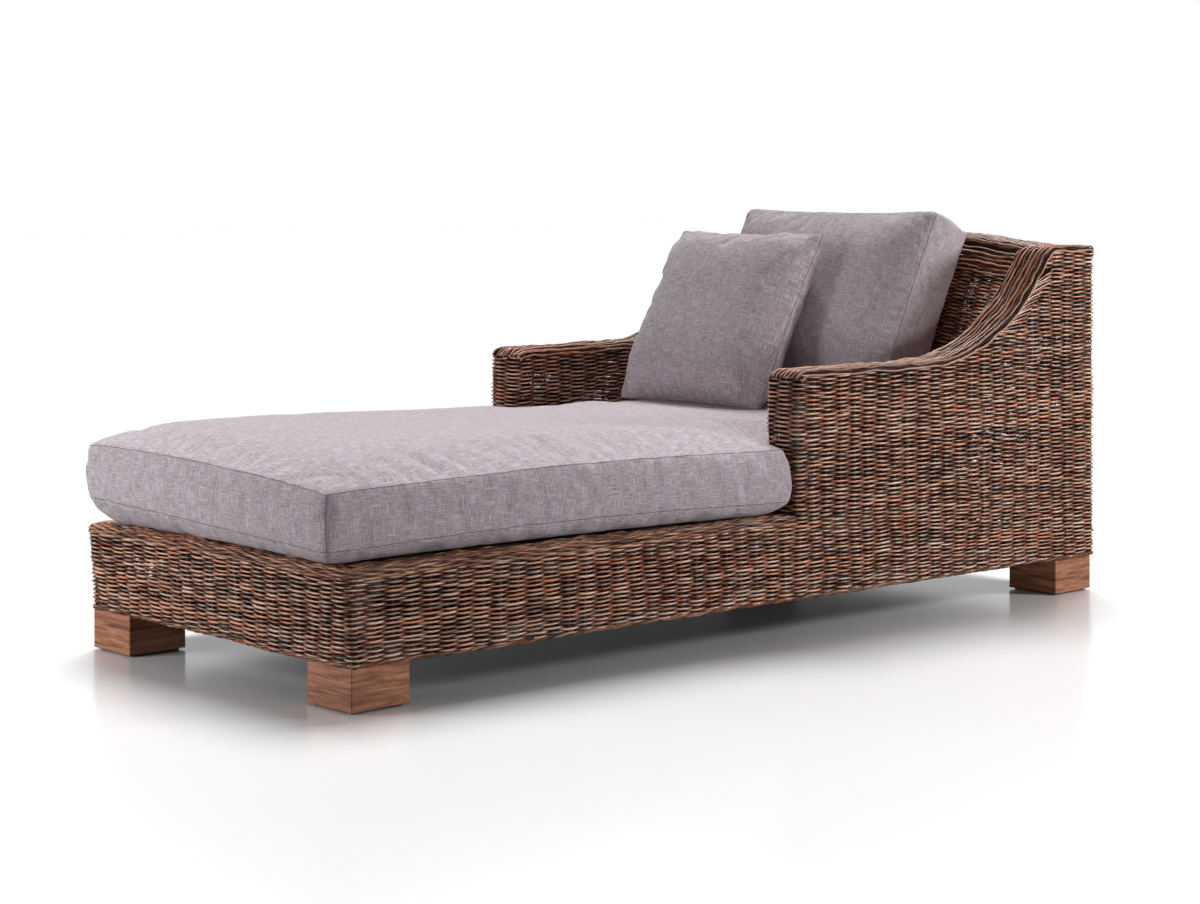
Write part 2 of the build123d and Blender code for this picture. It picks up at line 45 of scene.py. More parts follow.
# Sizes, as in the model
FOOT_Y = -0.9835  # woven face of the foot end
LENGTH = 2.0
DECK = 0.247  # top of the slats
FOOT_TOP = 0.080
ARM_TOP = 0.532
ARM_START = 1.065
ARM_WIDTH = 0.092
NOSE = 0.035  # radius of the arm's front top corner
SWOOP = 0.450  # radius of the arm's sweep up to the back
CREST = 0.060  # radius in which the sweep turns level again
BACK_TOP = 0.765
ARCH = 0.030  # rise of the back's top in its middle
PANEL_TOP = 1.850  # distance of the inner back's top edge
PANEL_DROP = 0.012  # that edge's depth under the back's top
FOOT_HALF = 0.416  # half the width at the foot end
SPREAD = 0.05  # how much further out the sides stand per metre towards the head
LEAN = math.radians(26)
SWOOP_TURN = math.acos(1 - (BACK_TOP - ARM_TOP) / (SWOOP + CREST))
CREST_START = 1.872
SWOOP_START = CREST_START - (SWOOP + CREST) * math.sin(SWOOP_TURN)
PANEL_FOOT = PANEL_TOP - (BACK_TOP - PANEL_DROP - DECK) * math.tan(LEAN)
ARCH_HALF = FOOT_HALF + SPREAD * PANEL_TOP - ARM_WIDTH

# The weave
ROW_PITCH = 0.0040
ARM_PITCH = 0.0044  # above the deck
FIRST_ROW = 0.0850
STAKES = 50  # along one side
REED = 0.0021  # radius of a reed
STAKE = 0.0014  # stakes stand in pairs
SWING = 0.0040  # how far a row swings out and in
WALL = 0.0061  # depth of the weave's middle under its face
TURN = 0.014  # how far from a corner its row pieces meet
STEP = 0.010  # between two points of a reed's centre line
CAP_DROP = 0.016  # how far the arm's top strands come down its side
RIM_UNDER = DECK - 0.014  # height at which the base's rows and stakes end under the rim


def half_width(d):
    """Half the lounger's width at a distance from the foot end."""
    return FOOT_HALF + SPREAD * d


def row_height(row):
    """Height of a row; above the deck they are a little further apart."""
    z = FIRST_ROW + row * ROW_PITCH
    return z if z < DECK else DECK + (z - DECK) * ARM_PITCH / ROW_PITCH


def linear(colour):
    """An sRGB hex colour as Blender's linear one."""
    parts = [int(colour[i:i + 2], 16) / 255 for i in (1, 3, 5)]
    return tuple(p / 12.92 if p <= 0.04045 else ((p + 0.055) / 1.055) ** 2.4 for p in parts) + (1.0,)


def add_node(tree, kind, inputs=None, stops=None, **settings):
    """Adds a node: settings first, then colour stops, then values or links by input name or number."""
    node = tree.nodes.new(kind)
    for key, value in settings.items():
        setattr(node, key, value)
    if stops:
        ramp = node.color_ramp
        while len(ramp.elements) < len(stops):
            ramp.elements.new(1.0)
        for element, (place, colour) in zip(ramp.elements, stops):
            element.position = place
            element.color = linear(colour)
    for key, value in (inputs or {}).items():
        if isinstance(value, bpy.types.NodeSocket):
            tree.links.new(value, node.inputs[key])
        else:
            node.inputs[key].default_value = value
    return node


def new_finish(name):
    """A material with a cleared Principled shader; returns it, its tree and the shader."""
    finish = bpy.data.materials.new(name)
    finish.use_nodes = True
    return finish, finish.node_tree, finish.node_tree.nodes["Principled BSDF"]


# Camera, fitted to the photograph's corners
lens = bpy.data.cameras.new("camera")
lens.sensor_width = 36
lens.sensor_fit = "HORIZONTAL"
lens.lens = 74.127
lens.shift_y = -0.2302
lens.clip_end = 60
camera = bpy.data.objects.new("camera", lens)
camera.location = (3.7685, -3.5468, 0.9199)
camera.rotation_euler = (math.radians(90), 0, math.radians(46.84))
scene.collection.objects.link(camera)
scene.camera = camera


# Materials

def mottled_finish(name, speck, stops, relief, roughness, stretch=None):
    """A finish whose colour and relief follow one noise; relief is its strength and depth."""
    finish, tree, shader = new_finish(name)
    place = add_node(tree, "ShaderNodeTexCoord").outputs["Object"]
    if stretch:
        place = add_node(tree, "ShaderNodeMapping", {"Vector": place, "Scale": stretch}).outputs[0]
    mottle = add_node(tree, "ShaderNodeTexNoise", {"Vector": place, **speck}).outputs["Fac"]
    ramp = add_node(tree, "ShaderNodeValToRGB", {"Fac": mottle}, stops=stops)
    bump = add_node(tree, "ShaderNodeBump", {"Height": mottle, "Strength": relief[0], "Distance": relief[1]})
    tree.links.new(ramp.outputs["Color"], shader.inputs["Base Color"])
    tree.links.new(bump.outputs["Normal"], shader.inputs["Normal"])
    shader.inputs["Roughness"].default_value = roughness
    return finish


# Round rattan core, stained dark brown and lacquered: every reed has its own tone; its bulges carry a painted
# highlight and its dives painted shade.
def make_reed():
    finish, tree, shader = new_finish("rattan_core_stained_brown")
    row, stake, reach = (add_node(tree, "ShaderNodeAttribute", attribute_name=name).outputs["Fac"]
                         for name in ("row", "stake", "depth"))
    place = add_node(tree, "ShaderNodeTexCoord").outputs["Object"]
    both = add_node(tree, "ShaderNodeMath", {0: row, 1: stake}, operation="ADD").outputs[0]
    half = add_node(tree, "ShaderNodeMath", {0: both, 1: 0.5}, operation="MULTIPLY").outputs[0]
    grain = add_node(tree, "ShaderNodeMath", {0: half}, operation="ROUND").outputs[0]
    pair = add_node(tree, "ShaderNodeCombineXYZ", {0: row, 1: grain, 2: 0.37}).outputs[0]
    by_row = add_node(tree, "ShaderNodeTexWhiteNoise", {"W": row}, noise_dimensions="1D").outputs["Value"]
    by_grain = add_node(tree, "ShaderNodeTexWhiteNoise", {"Vector": pair}).outputs["Value"]
    # tone drifts over 110 mm, as one reed lightens or darkens along its run
    drift = add_node(tree, "ShaderNodeTexNoise", {"Vector": place, "W": row, "Scale": 9.0, "Detail": 3.0},
                     noise_dimensions="4D").outputs["Fac"]
    blotch = add_node(tree, "ShaderNodeTexNoise",
                      {"Vector": place, "Scale": 60.0, "Detail": 2.0}).outputs["Fac"]
    tone = 0.0
    for source, share in ((by_row, 0.30), (by_grain, 0.46), (drift, 0.62), (blotch, 0.30)):
        tone = add_node(tree, "ShaderNodeMath", {0: source, 1: share, 2: tone},
                        operation="MULTIPLY_ADD").outputs[0]
    tone = add_node(tree, "ShaderNodeMath", {0: tone, 1: 0.36}, operation="SUBTRACT").outputs[0]
    ramp = add_node(tree, "ShaderNodeValToRGB", {"Fac": tone}, stops=[
        (0.10, "#2e160e"), (0.28, "#70422e"), (0.44, "#b47656"), (0.60, "#e2a785"), (0.76, "#f8cdb2"),
        (0.94, "#fff0e0")])
    # some reeds are redder, some have greyed
    hue = add_node(tree, "ShaderNodeTexNoise", {"Vector": place, "W": row, "Scale": 4.0, "Detail": 1.0},
                   noise_dimensions="4D")
    tint = add_node(tree, "ShaderNodeValToRGB", {"Fac": hue.outputs["Fac"]}, stops=[
        (0.36, "#cfd2d8"), (0.43, "#f5f1f0"), (0.53, "#ffffff"), (0.60, "#ffd6b8"), (0.68, "#ffba8c")])
    tinted = add_node(tree, "ShaderNodeMix", {0: 1.0, 6: ramp.outputs["Color"], 7: tint.outputs["Color"]},
                      data_type="RGBA", blend_type="MULTIPLY")
    # painted shade: the colour darkens where a reed dives behind a stake; stakes, borders and sunk strands get
    # it too
    turn = add_node(tree, "ShaderNodeMath", {0: both, 1: math.pi}, operation="MULTIPLY").outputs[0]
    wave = add_node(tree, "ShaderNodeMath", {0: turn}, operation="COSINE").outputs[0]
    sunk = add_node(tree, "ShaderNodeMath", {0: wave, 1: reach}, operation="MULTIPLY").outputs[0]
    painted_recess_shade = add_node(tree, "ShaderNodeMapRange", {0: sunk, 1: -0.0024, 2: 0.0027, 3: 0.03, 4: 1.0},
                      interpolation_type="SMOOTHSTEP").outputs[0]
    # and a painted highlight makes it pale where it bulges over one
    painted_crest_highlight = add_node(tree, "ShaderNodeMapRange", {0: sunk, 1: 0.0016, 2: 0.0042, 3: 0.0, 4: 0.48},
                     interpolation_type="SMOOTHSTEP").outputs[0]
    with_painted_highlight = add_node(tree, "ShaderNodeMix", {0: painted_crest_highlight, 6: tinted.outputs[2], 7: linear("#f4d2ba")},
                      data_type="RGBA")
    shaded = add_node(tree, "ShaderNodeMix", {0: 1.0, 6: with_painted_highlight.outputs[2], 7: painted_recess_shade}, data_type="RGBA",
                      blend_type="MULTIPLY")
    # fine fibres, about 1 mm apart
    fibre = add_node(tree, "ShaderNodeTexNoise", {"Vector": place, "Scale": 900.0, "Detail": 1.0})
    bump = add_node(tree, "ShaderNodeBump", {"Height": fibre.outputs["Fac"], "Strength": 0.15,
                                             "Distance": 0.0004})
    tree.links.new(shaded.outputs[2], shader.inputs["Base Color"])
    tree.links.new(bump.outputs["Normal"], shader.inputs["Normal"])
    gloss = add_node(tree, "ShaderNodeMapRange", {0: painted_recess_shade, 3: 0.85, 4: 0.26})
    tree.links.new(gloss.outputs[0], shader.inputs["Roughness"])
    # the painted shade also takes the reflection out where it darkens the colour
    tree.links.new(painted_recess_shade, shader.inputs["Specular Tint"])
    shader.inputs["IOR"].default_value = 1.6
    return finish


# Oiled walnut: level grain of darker pores over a red-brown ground, satin.
def make_walnut():
    finish, tree, shader = new_finish("walnut_oiled")
    place = add_node(tree, "ShaderNodeTexCoord").outputs["Object"]
    # grain runs level: growth rings 9 mm apart, drawn out twelvefold along the block
    flat = add_node(tree, "ShaderNodeMapping", {"Vector": place, "Scale": (9.0, 9.0, 110.0)}).outputs[0]
    warp = add_node(tree, "ShaderNodeTexNoise",
                    {"Vector": flat, "Scale": 1.0, "Detail": 5.0, "Roughness": 0.6, "Distortion": 0.8})
    ramp = add_node(tree, "ShaderNodeValToRGB", {"Fac": warp.outputs["Fac"]}, stops=[
        (0.28, "#683d29"), (0.42, "#9a6349"), (0.52, "#b87c5c"), (0.62, "#cb8e6c"), (0.78, "#dfa480")])
    pores = add_node(tree, "ShaderNodeMapping", {"Vector": place, "Scale": (60.0, 60.0, 1400.0)}).outputs[0]
    pore = add_node(tree, "ShaderNodeTexNoise", {"Vector": pores, "Scale": 1.0, "Detail": 2.0})
    dark = add_node(tree, "ShaderNodeMapRange", {0: pore.outputs["Fac"], 1: 0.30, 2: 0.48, 3: 0.55, 4: 1.0})
    mixed = add_node(tree, "ShaderNodeMix", {0: 1.0, 6: ramp.outputs["Color"], 7: dark.outputs[0]},
                     data_type="RGBA", blend_type="MULTIPLY")
    tree.links.new(mixed.outputs[2], shader.inputs["Base Color"])
    bump = add_node(tree, "ShaderNodeBump", {"Height": pore.outputs["Fac"], "Strength": 0.25,
                                             "Distance": 0.0004})
    tree.links.new(bump.outputs["Normal"], shader.inputs["Normal"])
    shader.inputs["Roughness"].default_value = 0.42
    shader.inputs["Specular IOR Level"].default_value = 0.35
    return finish


# Sawn hardwood of the hidden frame, stained to match the reed: level grain 6 mm apart, matt.
def make_timber():
    stops = [(0.3, "#1d120d"), (0.6, "#3a251a"), (0.8, "#4c3224")]
    return mottled_finish("hardwood_stained", {"Scale": 1.0, "Detail": 4.0}, stops, (0.3, 0.0006), 0.7,
                          stretch=(12.0, 12.0, 160.0))


# Bent rattan pole, skin on: straw brown with a darker ring at each joint, 180 mm apart.
def make_pole():
    finish, tree, shader = new_finish("rattan_pole_stained")
    place = add_node(tree, "ShaderNodeTexCoord").outputs["Object"]
    wave = add_node(tree, "ShaderNodeTexWave", {"Vector": place, "Scale": 1.75, "Distortion": 0.6},
                    bands_direction="Y")
    ramp = add_node(tree, "ShaderNodeValToRGB", {"Fac": wave.outputs["Fac"]},
                    stops=[(0.0, "#1f130e"), (0.06, "#4a3023"), (0.7, "#5d3e2d")])
    tree.links.new(ramp.outputs["Color"], shader.inputs["Base Color"])
    fibre = add_node(tree, "ShaderNodeTexNoise", {"Vector": place, "Scale": 300.0})
    bump = add_node(tree, "ShaderNodeBump", {"Height": fibre.outputs["Fac"], "Strength": 0.2,
                                             "Distance": 0.0004})
    tree.links.new(bump.outputs["Normal"], shader.inputs["Normal"])
    shader.inputs["Roughness"].default_value = 0.4
    return finish


# Nylon glide, moulded: near black with a fine pebble, 0.9 mm wide.
def make_glide():
    stops = [(0.3, "#17120f"), (0.7, "#241d19")]
    return mottled_finish("nylon_moulded_black", {"Scale": 1100.0}, stops, (0.3, 0.0003), 0.55)


# Zinc-plated steel: turned, a little uneven.
def make_steel():
    finish, tree, shader = new_finish("steel_zinc_plated")
    place = add_node(tree, "ShaderNodeTexCoord").outputs["Object"]
    cloud = add_node(tree, "ShaderNodeTexNoise", {"Vector": place, "Scale": 260.0, "Detail": 2.0})
    ramp = add_node(tree, "ShaderNodeValToRGB", {"Fac": cloud.outputs["Fac"]},
                    stops=[(0.3, "#8d9093"), (0.7, "#b4b6b8")])
    tree.links.new(ramp.outputs["Color"], shader.inputs["Base Color"])
    rough = add_node(tree, "ShaderNodeMapRange", {0: cloud.outputs["Fac"], 3: 0.25, 4: 0.42})
    tree.links.new(rough.outputs[0], shader.inputs["Roughness"])
    shader.inputs["Metallic"].default_value = 1.0
    return finish


# Slub linen, grey-mauve: uneven light and brown threads in both directions, matt.
def make_linen():
    finish, tree, shader = new_finish("linen_slub_grey_mauve")
    cloth = add_node(tree, "ShaderNodeUVMap", uv_map="cloth").outputs["UV"]
    # threads across and down: slubs 14 to 36 mm long and 1 to 1.6 mm thick
    threads = []
    for scale, shift in (((70.0, 1000.0, 1.0), (0, 0, 0)), ((1000.0, 70.0, 1.0), (0, 0, 0)),
                         ((28.0, 640.0, 1.0), (3.1, 7.7, 0)), ((640.0, 28.0, 1.0), (5.3, 1.9, 0))):
        laid = add_node(tree, "ShaderNodeMapping",
                        {"Vector": cloth, "Scale": scale, "Location": shift}).outputs[0]
        threads.append(add_node(tree, "ShaderNodeTexNoise", {"Vector": laid, "Scale": 1.0, "Detail": 0.0},
                                noise_dimensions="2D").outputs["Fac"])
    slub_across, slub_down, streak_across, streak_down = threads
    slubs = add_node(tree, "ShaderNodeMath", {0: slub_across, 1: slub_down}, operation="ADD").outputs[0]
    streaks = add_node(tree, "ShaderNodeMath", {0: streak_across, 1: streak_down},
                       operation="MAXIMUM").outputs[0]
    ground = add_node(tree, "ShaderNodeMath", {0: slubs, 1: 0.27}, operation="MULTIPLY").outputs[0]
    tone = add_node(tree, "ShaderNodeMath", {0: streaks, 1: 0.46, 2: ground},
                    operation="MULTIPLY_ADD").outputs[0]
    ramp = add_node(tree, "ShaderNodeValToRGB", {"Fac": tone}, stops=[
        (0.41, "#a89898"), (0.49, "#b7a8ab"), (0.53, "#bfb0b6"), (0.58, "#c8bdc5"), (0.67, "#d8d1dc")])
    tree.links.new(ramp.outputs["Color"], shader.inputs["Base Color"])
    height = add_node(tree, "ShaderNodeMath", {0: slub_across, 1: slub_down}, operation="MAXIMUM").outputs[0]
    bump = add_node(tree, "ShaderNodeBump", {"Height": height, "Strength": 0.6, "Distance": 0.0008})
    tree.links.new(bump.outputs["Normal"], shader.inputs["Normal"])
    shader.inputs["Roughness"].default_value = 0.92
    shader.inputs["Specular IOR Level"].default_value = 0.25
    shader.inputs["Sheen Weight"].default_value = 0.15
    shader.inputs["Sheen Roughness"].default_value = 0.5
    return finish


# Cotton sewing thread, mauve brown: its ply shows every 1.4 mm.
def make_thread():
    stops = [(0.3, "#6a595f"), (0.7, "#88777f")]
    return mottled_finish("cotton_thread_dark", {"Scale": 700.0}, stops, (0.4, 0.0004), 0.85)


reed_finish = make_reed()
linen = make_linen()
thread = make_thread()
walnut, timber, pole, nylon, zinc = make_walnut(), make_timber(), make_pole(), make_glide(), make_steel()

plain_finishes = {"foot_bolts": zinc, "slat_screws": zinc, "arm_pole_left": pole, "arm_pole_right": pole}
for name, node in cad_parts.items():
    finish = plain_finishes.get(name)
    if finish is None:
        finish = walnut if name.startswith("foot_") else nylon if name.startswith("glide_") else timber
    for slot in node.material_slots:
        slot.material = finish


# Laying reeds
class Reeds:
    """Centre lines of reeds, with what the reed tree reads at each point of them."""

    def __init__(self):
        self.points, self.edges = [], []
        self.values = {"out": [], "stake": [], "row": [], "depth": [], "thick": []}

    def lay(self, line, row, depth=SWING, thick=REED):
        """line holds points, their outward directions and their places in stakes.

        At full swing the stakes stand a little unevenly and the rows pull unevenly.
        """
        first = len(self.points)
        self.edges += [(first + i, first + i + 1) for i in range(len(line) - 1)]
        for point, out, stake in line:
            drift, pull = 0.0, 1.0
            if depth == SWING:
                by_row = noise.noise(Vector((point.x * 16, point.y * 16, row * 5.3)))
                drift = 0.30 * noise.noise(point * 11.0) + 0.22 * by_row
                pull = 0.86 + 0.5 * noise.noise(Vector((point.x * 19 + 7, point.y * 19, row * 3.1)))
            self.points.append(point)
            self.values["out"].append(out)
            self.values["stake"].append(stake + drift)
            self.values["row"].append(float(row))
            self.values["depth"].append(depth * min(1.0, pull))
            self.values["thick"].append(thick)


def reed_tree():
    """Geometry nodes that turn centre lines into round reeds going over and under the stakes."""
    tree = bpy.data.node_groups.new("woven reed", "GeometryNodeTree")
    face = tree.interface
    face.new_socket("Geometry", in_out="INPUT", socket_type="NodeSocketGeometry")
    for name, kind, value in (("Wander", "NodeSocketFloat", 0.0009), ("Waves", "NodeSocketFloat", 14.0),
                              ("Sway", "NodeSocketFloat", 0.0014),
                              ("Unevenness", "NodeSocketFloat", 0.24), ("Sides", "NodeSocketInt", 5),
                              ("Seed", "NodeSocketInt", 1)):
        face.new_socket(name, in_out="INPUT", socket_type=kind).default_value = value
    face.new_socket("Finish", in_out="INPUT", socket_type="NodeSocketMaterial")
    face.new_socket("Geometry", in_out="OUTPUT", socket_type="NodeSocketGeometry")
    given = add_node(tree, "NodeGroupInput").outputs
    read = {}
    for name, kind in (("out", "FLOAT_VECTOR"), ("stake", "FLOAT"), ("row", "FLOAT"), ("depth", "FLOAT"),
                       ("thick", "FLOAT")):
        read[name] = add_node(tree, "GeometryNodeInputNamedAttribute", {"Name": name},
                              data_type=kind).outputs["Attribute"]
    lines = add_node(tree, "GeometryNodeMeshToCurve", {"Mesh": given["Geometry"]}).outputs[0]
    count = add_node(tree, "ShaderNodeMath", {0: read["stake"], 1: read["row"]}, operation="ADD").outputs[0]
    angle = add_node(tree, "ShaderNodeMath", {0: count, 1: math.pi}, operation="MULTIPLY").outputs[0]
    wave = add_node(tree, "ShaderNodeMath", {0: angle}, operation="COSINE").outputs[0]
    swing = add_node(tree, "ShaderNodeMath", {0: wave, 1: read["depth"]}, operation="MULTIPLY").outputs[0]
    over = add_node(tree, "ShaderNodeVectorMath", {0: read["out"], "Scale": swing},
                    operation="SCALE").outputs[0]
    place = add_node(tree, "GeometryNodeInputPosition").outputs[0]
    own = add_node(tree, "ShaderNodeMath", {0: read["row"], 1: 7.31, 2: given["Seed"]},
                   operation="MULTIPLY_ADD").outputs[0]
    stray = add_node(tree, "ShaderNodeTexNoise",
                     {"Vector": place, "W": own, "Scale": given["Waves"], "Detail": 1.0},
                     noise_dimensions="4D")
    centred = add_node(tree, "ShaderNodeVectorMath", {0: stray.outputs["Color"], 1: (0.5, 0.5, 0.5)},
                       operation="SUBTRACT").outputs[0]
    free = add_node(tree, "ShaderNodeMath", {0: given["Wander"], 1: 5.0}, operation="MULTIPLY").outputs[0]
    wander = add_node(tree, "ShaderNodeVectorMath", {0: centred, "Scale": free}, operation="SCALE").outputs[0]
    shared = add_node(tree, "ShaderNodeTexNoise", {"Vector": place, "Scale": 9.0, "Detail": 1.0})
    level = add_node(tree, "ShaderNodeVectorMath", {0: shared.outputs["Color"], 1: (0.5, 0.5, 0.5)},
                     operation="SUBTRACT").outputs[0]
    wide = add_node(tree, "ShaderNodeMath", {0: given["Sway"], 1: 5.0}, operation="MULTIPLY").outputs[0]
    sway = add_node(tree, "ShaderNodeVectorMath", {0: level, "Scale": wide}, operation="SCALE").outputs[0]
    stray_and_sway = add_node(tree, "ShaderNodeVectorMath", {0: wander, 1: sway}, operation="ADD").outputs[0]
    both = add_node(tree, "ShaderNodeVectorMath", {0: over, 1: stray_and_sway}, operation="ADD").outputs[0]
    laid = add_node(tree, "GeometryNodeSetPosition", {"Geometry": lines, "Offset": both}).outputs[0]
    chance = add_node(tree, "ShaderNodeTexWhiteNoise", {"W": own}, noise_dimensions="1D").outputs["Value"]
    spread = add_node(tree, "ShaderNodeMath", {0: chance, 1: 0.5}, operation="SUBTRACT").outputs[0]
    swell = add_node(tree, "ShaderNodeMath", {0: given["Unevenness"], 1: 2.0},
                     operation="MULTIPLY").outputs[0]
    factor = add_node(tree, "ShaderNodeMath", {0: spread, 1: swell, 2: 1.0},
                      operation="MULTIPLY_ADD").outputs[0]
    radius = add_node(tree, "ShaderNodeMath", {0: factor, 1: read["thick"]}, operation="MULTIPLY").outputs[0]
    round_reed = add_node(tree, "GeometryNodeCurvePrimitiveCircle",
                          {"Resolution": given["Sides"], "Radius": 1.0}).outputs[0]
    tube = add_node(tree, "GeometryNodeCurveToMesh",
                    {"Curve": laid, "Profile Curve": round_reed, "Scale": radius,
                     "Fill Caps": True}).outputs[0]
    smooth = add_node(tree, "GeometryNodeSetShadeSmooth", {"Geometry": tube}).outputs[0]
    whole = add_node(tree, "GeometryNodeRealizeInstances", {"Geometry": smooth}).outputs[0]
    done = add_node(tree, "GeometryNodeSetMaterial",
                    {"Geometry": whole, "Material": given["Finish"]}).outputs[0]
    add_node(tree, "NodeGroupOutput", {"Geometry": done})
    return tree


woven_reed = reed_tree()


def weave(name, reeds, replaced, seed, **sizes):
    """Makes one woven piece of its centre lines, as a plain mesh, and puts it in place of CAD nodes."""
    lines = bpy.data.meshes.new(f"{name}_lines")
    lines.from_pydata(reeds.points, reeds.edges, [])
    for key, values in reeds.values.items():
        kind = "FLOAT_VECTOR" if key == "out" else "FLOAT"
        attribute = lines.attributes.new(key, kind, "POINT")
        flat = [n for v in values for n in v] if key == "out" else values
        attribute.data.foreach_set("vector" if key == "out" else "value", flat)
    piece = bpy.data.objects.new(name, lines)
    scene.collection.objects.link(piece)
    laying = piece.modifiers.new("weave", "NODES")
    laying.node_group = woven_reed
    given = dict(sizes, Seed=seed, Finish=reed_finish)
    for socket in woven_reed.interface.items_tree:
        if socket.in_out == "INPUT" and socket.name in given:
            laying[socket.identifier] = given[socket.name]
    graph = bpy.context.evaluated_depsgraph_get()
    mesh = bpy.data.meshes.new_from_object(piece.evaluated_get(graph), depsgraph=graph)
    piece.modifiers.clear()
    piece.data = mesh
    bpy.data.meshes.remove(lines)
    mesh.name = name
    for spare in ("out", "thick"):
        if spare in mesh.attributes:
            mesh.attributes.remove(mesh.attributes[spare])
    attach(piece, "frame")
    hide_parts(*replaced)


def bend(corners, radius):
    """Plan points along a line with rounded corners: place, direction to its right, length so far."""
    found, so_far, at = [], 0.0, Vector(corners[0])
    turns = []
    for i in range(1, len(corners) - 1):
        a, b, c = (Vector(corners[k]) for k in (i - 1, i, i + 1))
        into, away = (b - a).normalized(), (c - b).normalized()
        angle = into.angle_signed(away, 0.0)
        reach = radius * math.tan(abs(angle) / 2)
        turns.append((b - into * reach, into, angle, b + away * reach))
    turns.append((Vector(corners[-1]), (Vector(corners[-1]) - Vector(corners[-2])).normalized(), 0.0, None))
    for stop, along, angle, leave in turns:
        run = (stop - at).length
        side = Vector((along.y, -along.x))
        parts = max(1, math.ceil(run / STEP))
        for k in range(parts + (leave is None)):
            found.append((at + along * run * k / parts, side, so_far + run * k / parts))
        so_far += run
        if leave is not None:
            turned = -angle  # a left turn in the plane is positive here
            pivot = stop - side * radius * math.copysign(1, turned)
            bits = max(2, math.ceil(abs(angle) / math.radians(22)))
            for k in range(bits):
                t = turned * k / bits
                out = Vector((side.x * math.cos(t) - side.y * math.sin(t),
                              side.x * math.sin(t) + side.y * math.cos(t)))
                found.append((pivot + out * radius * math.copysign(1, turned), out, so_far + abs(t) * radius))
            so_far += abs(angle) * radius
            at = leave
    return found, so_far


def level_line(plan, z, stake_of, sign=1):
    """A plan line raised to one height; sign -1 mirrors it to the left side."""
    return [(Vector((p.x * sign, p.y, z)), Vector((o.x * sign, o.y, 0)), stake_of(s)) for p, o, s in plan]


def side_point(d, inset, sign):
    return Vector((sign * (half_width(d) - inset), FOOT_Y + d))


def side_stake(d):
    return (d - TURN) / (LENGTH - 2 * TURN) * STAKES


def top_line(z, drop):
    """Distance at which a level line meets the arm's top line lowered by drop."""
    if z <= ARM_TOP - NOSE:
        return ARM_START + drop
    if z <= ARM_TOP - drop:
        return ARM_START + NOSE - math.sqrt(max(0.0, (NOSE - drop) ** 2 - (z - ARM_TOP + NOSE) ** 2))
    middle, radius = ARM_TOP + SWOOP, SWOOP + drop
    if z <= middle - radius * math.cos(SWOOP_TURN):
        return SWOOP_START + math.sqrt(max(0.0, radius ** 2 - (middle - z) ** 2))
    radius = max(0.001, CREST - drop)
    return CREST_START - math.sqrt(max(0.0, radius ** 2 - (z - BACK_TOP + CREST) ** 2))


def row_heights(low, high):
    """Numbers and heights of the rows between two heights."""
    return [(row, row_height(row)) for row in range(200) if low <= row_height(row) <= high]


def swoop_tail(z, drop):
    """Distances and heights by which a side row leaves down along the swoop; empty where it doesn't."""
    middle, radius, clear = ARM_TOP + SWOOP, SWOOP + drop, 0.022
    if z <= ARM_TOP - drop + 0.003 or z > middle - (radius + clear) * math.cos(SWOOP_TURN):
        return []
    turn = math.acos((middle - z) / (radius + clear))
    if turn < 0.62:  # too level here for a tail
        return []
    tail = []
    reach = 0.048
    for back in (reach, 0.038, 0.028, 0.019, 0.011, 0.004, 0.0):
        t = turn - back / radius
        if t > 0:
            r = radius - 0.004 + (clear + 0.004) * (1 - back / reach) ** 1.25
            tail.append((SWOOP_START + r * math.sin(t), middle - r * math.cos(t)))
    return tail


def lay_stake(reeds, place, out, low, high, number, bulge=lambda z: 0.0):
    """A pair of upright stakes inside the rows, a little sunk; bulge moves them out by height."""
    sunk = (number + 1) % 2
    count = max(1, math.ceil((high - low) / 0.03))
    for shift in (-0.0018, 0.0018):
        line = []
        for i in range(count + 1):
            z = low + (high - low) * i / count
            x, y = place.x - out.y * shift + out.x * bulge(z), place.y + out.x * shift + out.y * bulge(z)
            line.append((Vector((x, y, z)), Vector((out.x, out.y, 0)), sunk))
        reeds.lay(line, 500 + number, depth=0.0012, thick=STAKE)


def lay_border(reeds, places, outs):
    """Three strands twisted together along the lower edge."""
    for strand in range(3):
        line = []
        for i, (place, out) in enumerate(zip(places, outs)):
            turn = i * 0.9 + strand * math.tau / 3
            inset = 0.0042 - 0.0020 * math.cos(turn)
            z = FOOT_TOP + 0.0026 + 0.0022 * math.sin(turn)
            spot = Vector((place.x - out.x * inset, place.y - out.y * inset, z))
            line.append((spot, Vector((out.x, out.y, 0)), i * 0.24))
        reeds.lay(line, 700 + strand, depth=0.0, thick=0.0021)


def stake_top(d):
    """Height at which a side's stake ends, under the rim, the arm's top or the swoop."""
    if d <= ARM_START + 0.02:
        return RIM_UNDER
    if d <= SWOOP_START:
        return ARM_TOP - CAP_DROP
    run, radius = d - SWOOP_START, SWOOP + CAP_DROP
    if run < radius * math.sin(SWOOP_TURN):
        return ARM_TOP + SWOOP - math.sqrt(radius ** 2 - run ** 2)
    return BACK_TOP - CAP_DROP - (0.01 if d <= CREST_START else 0.0)


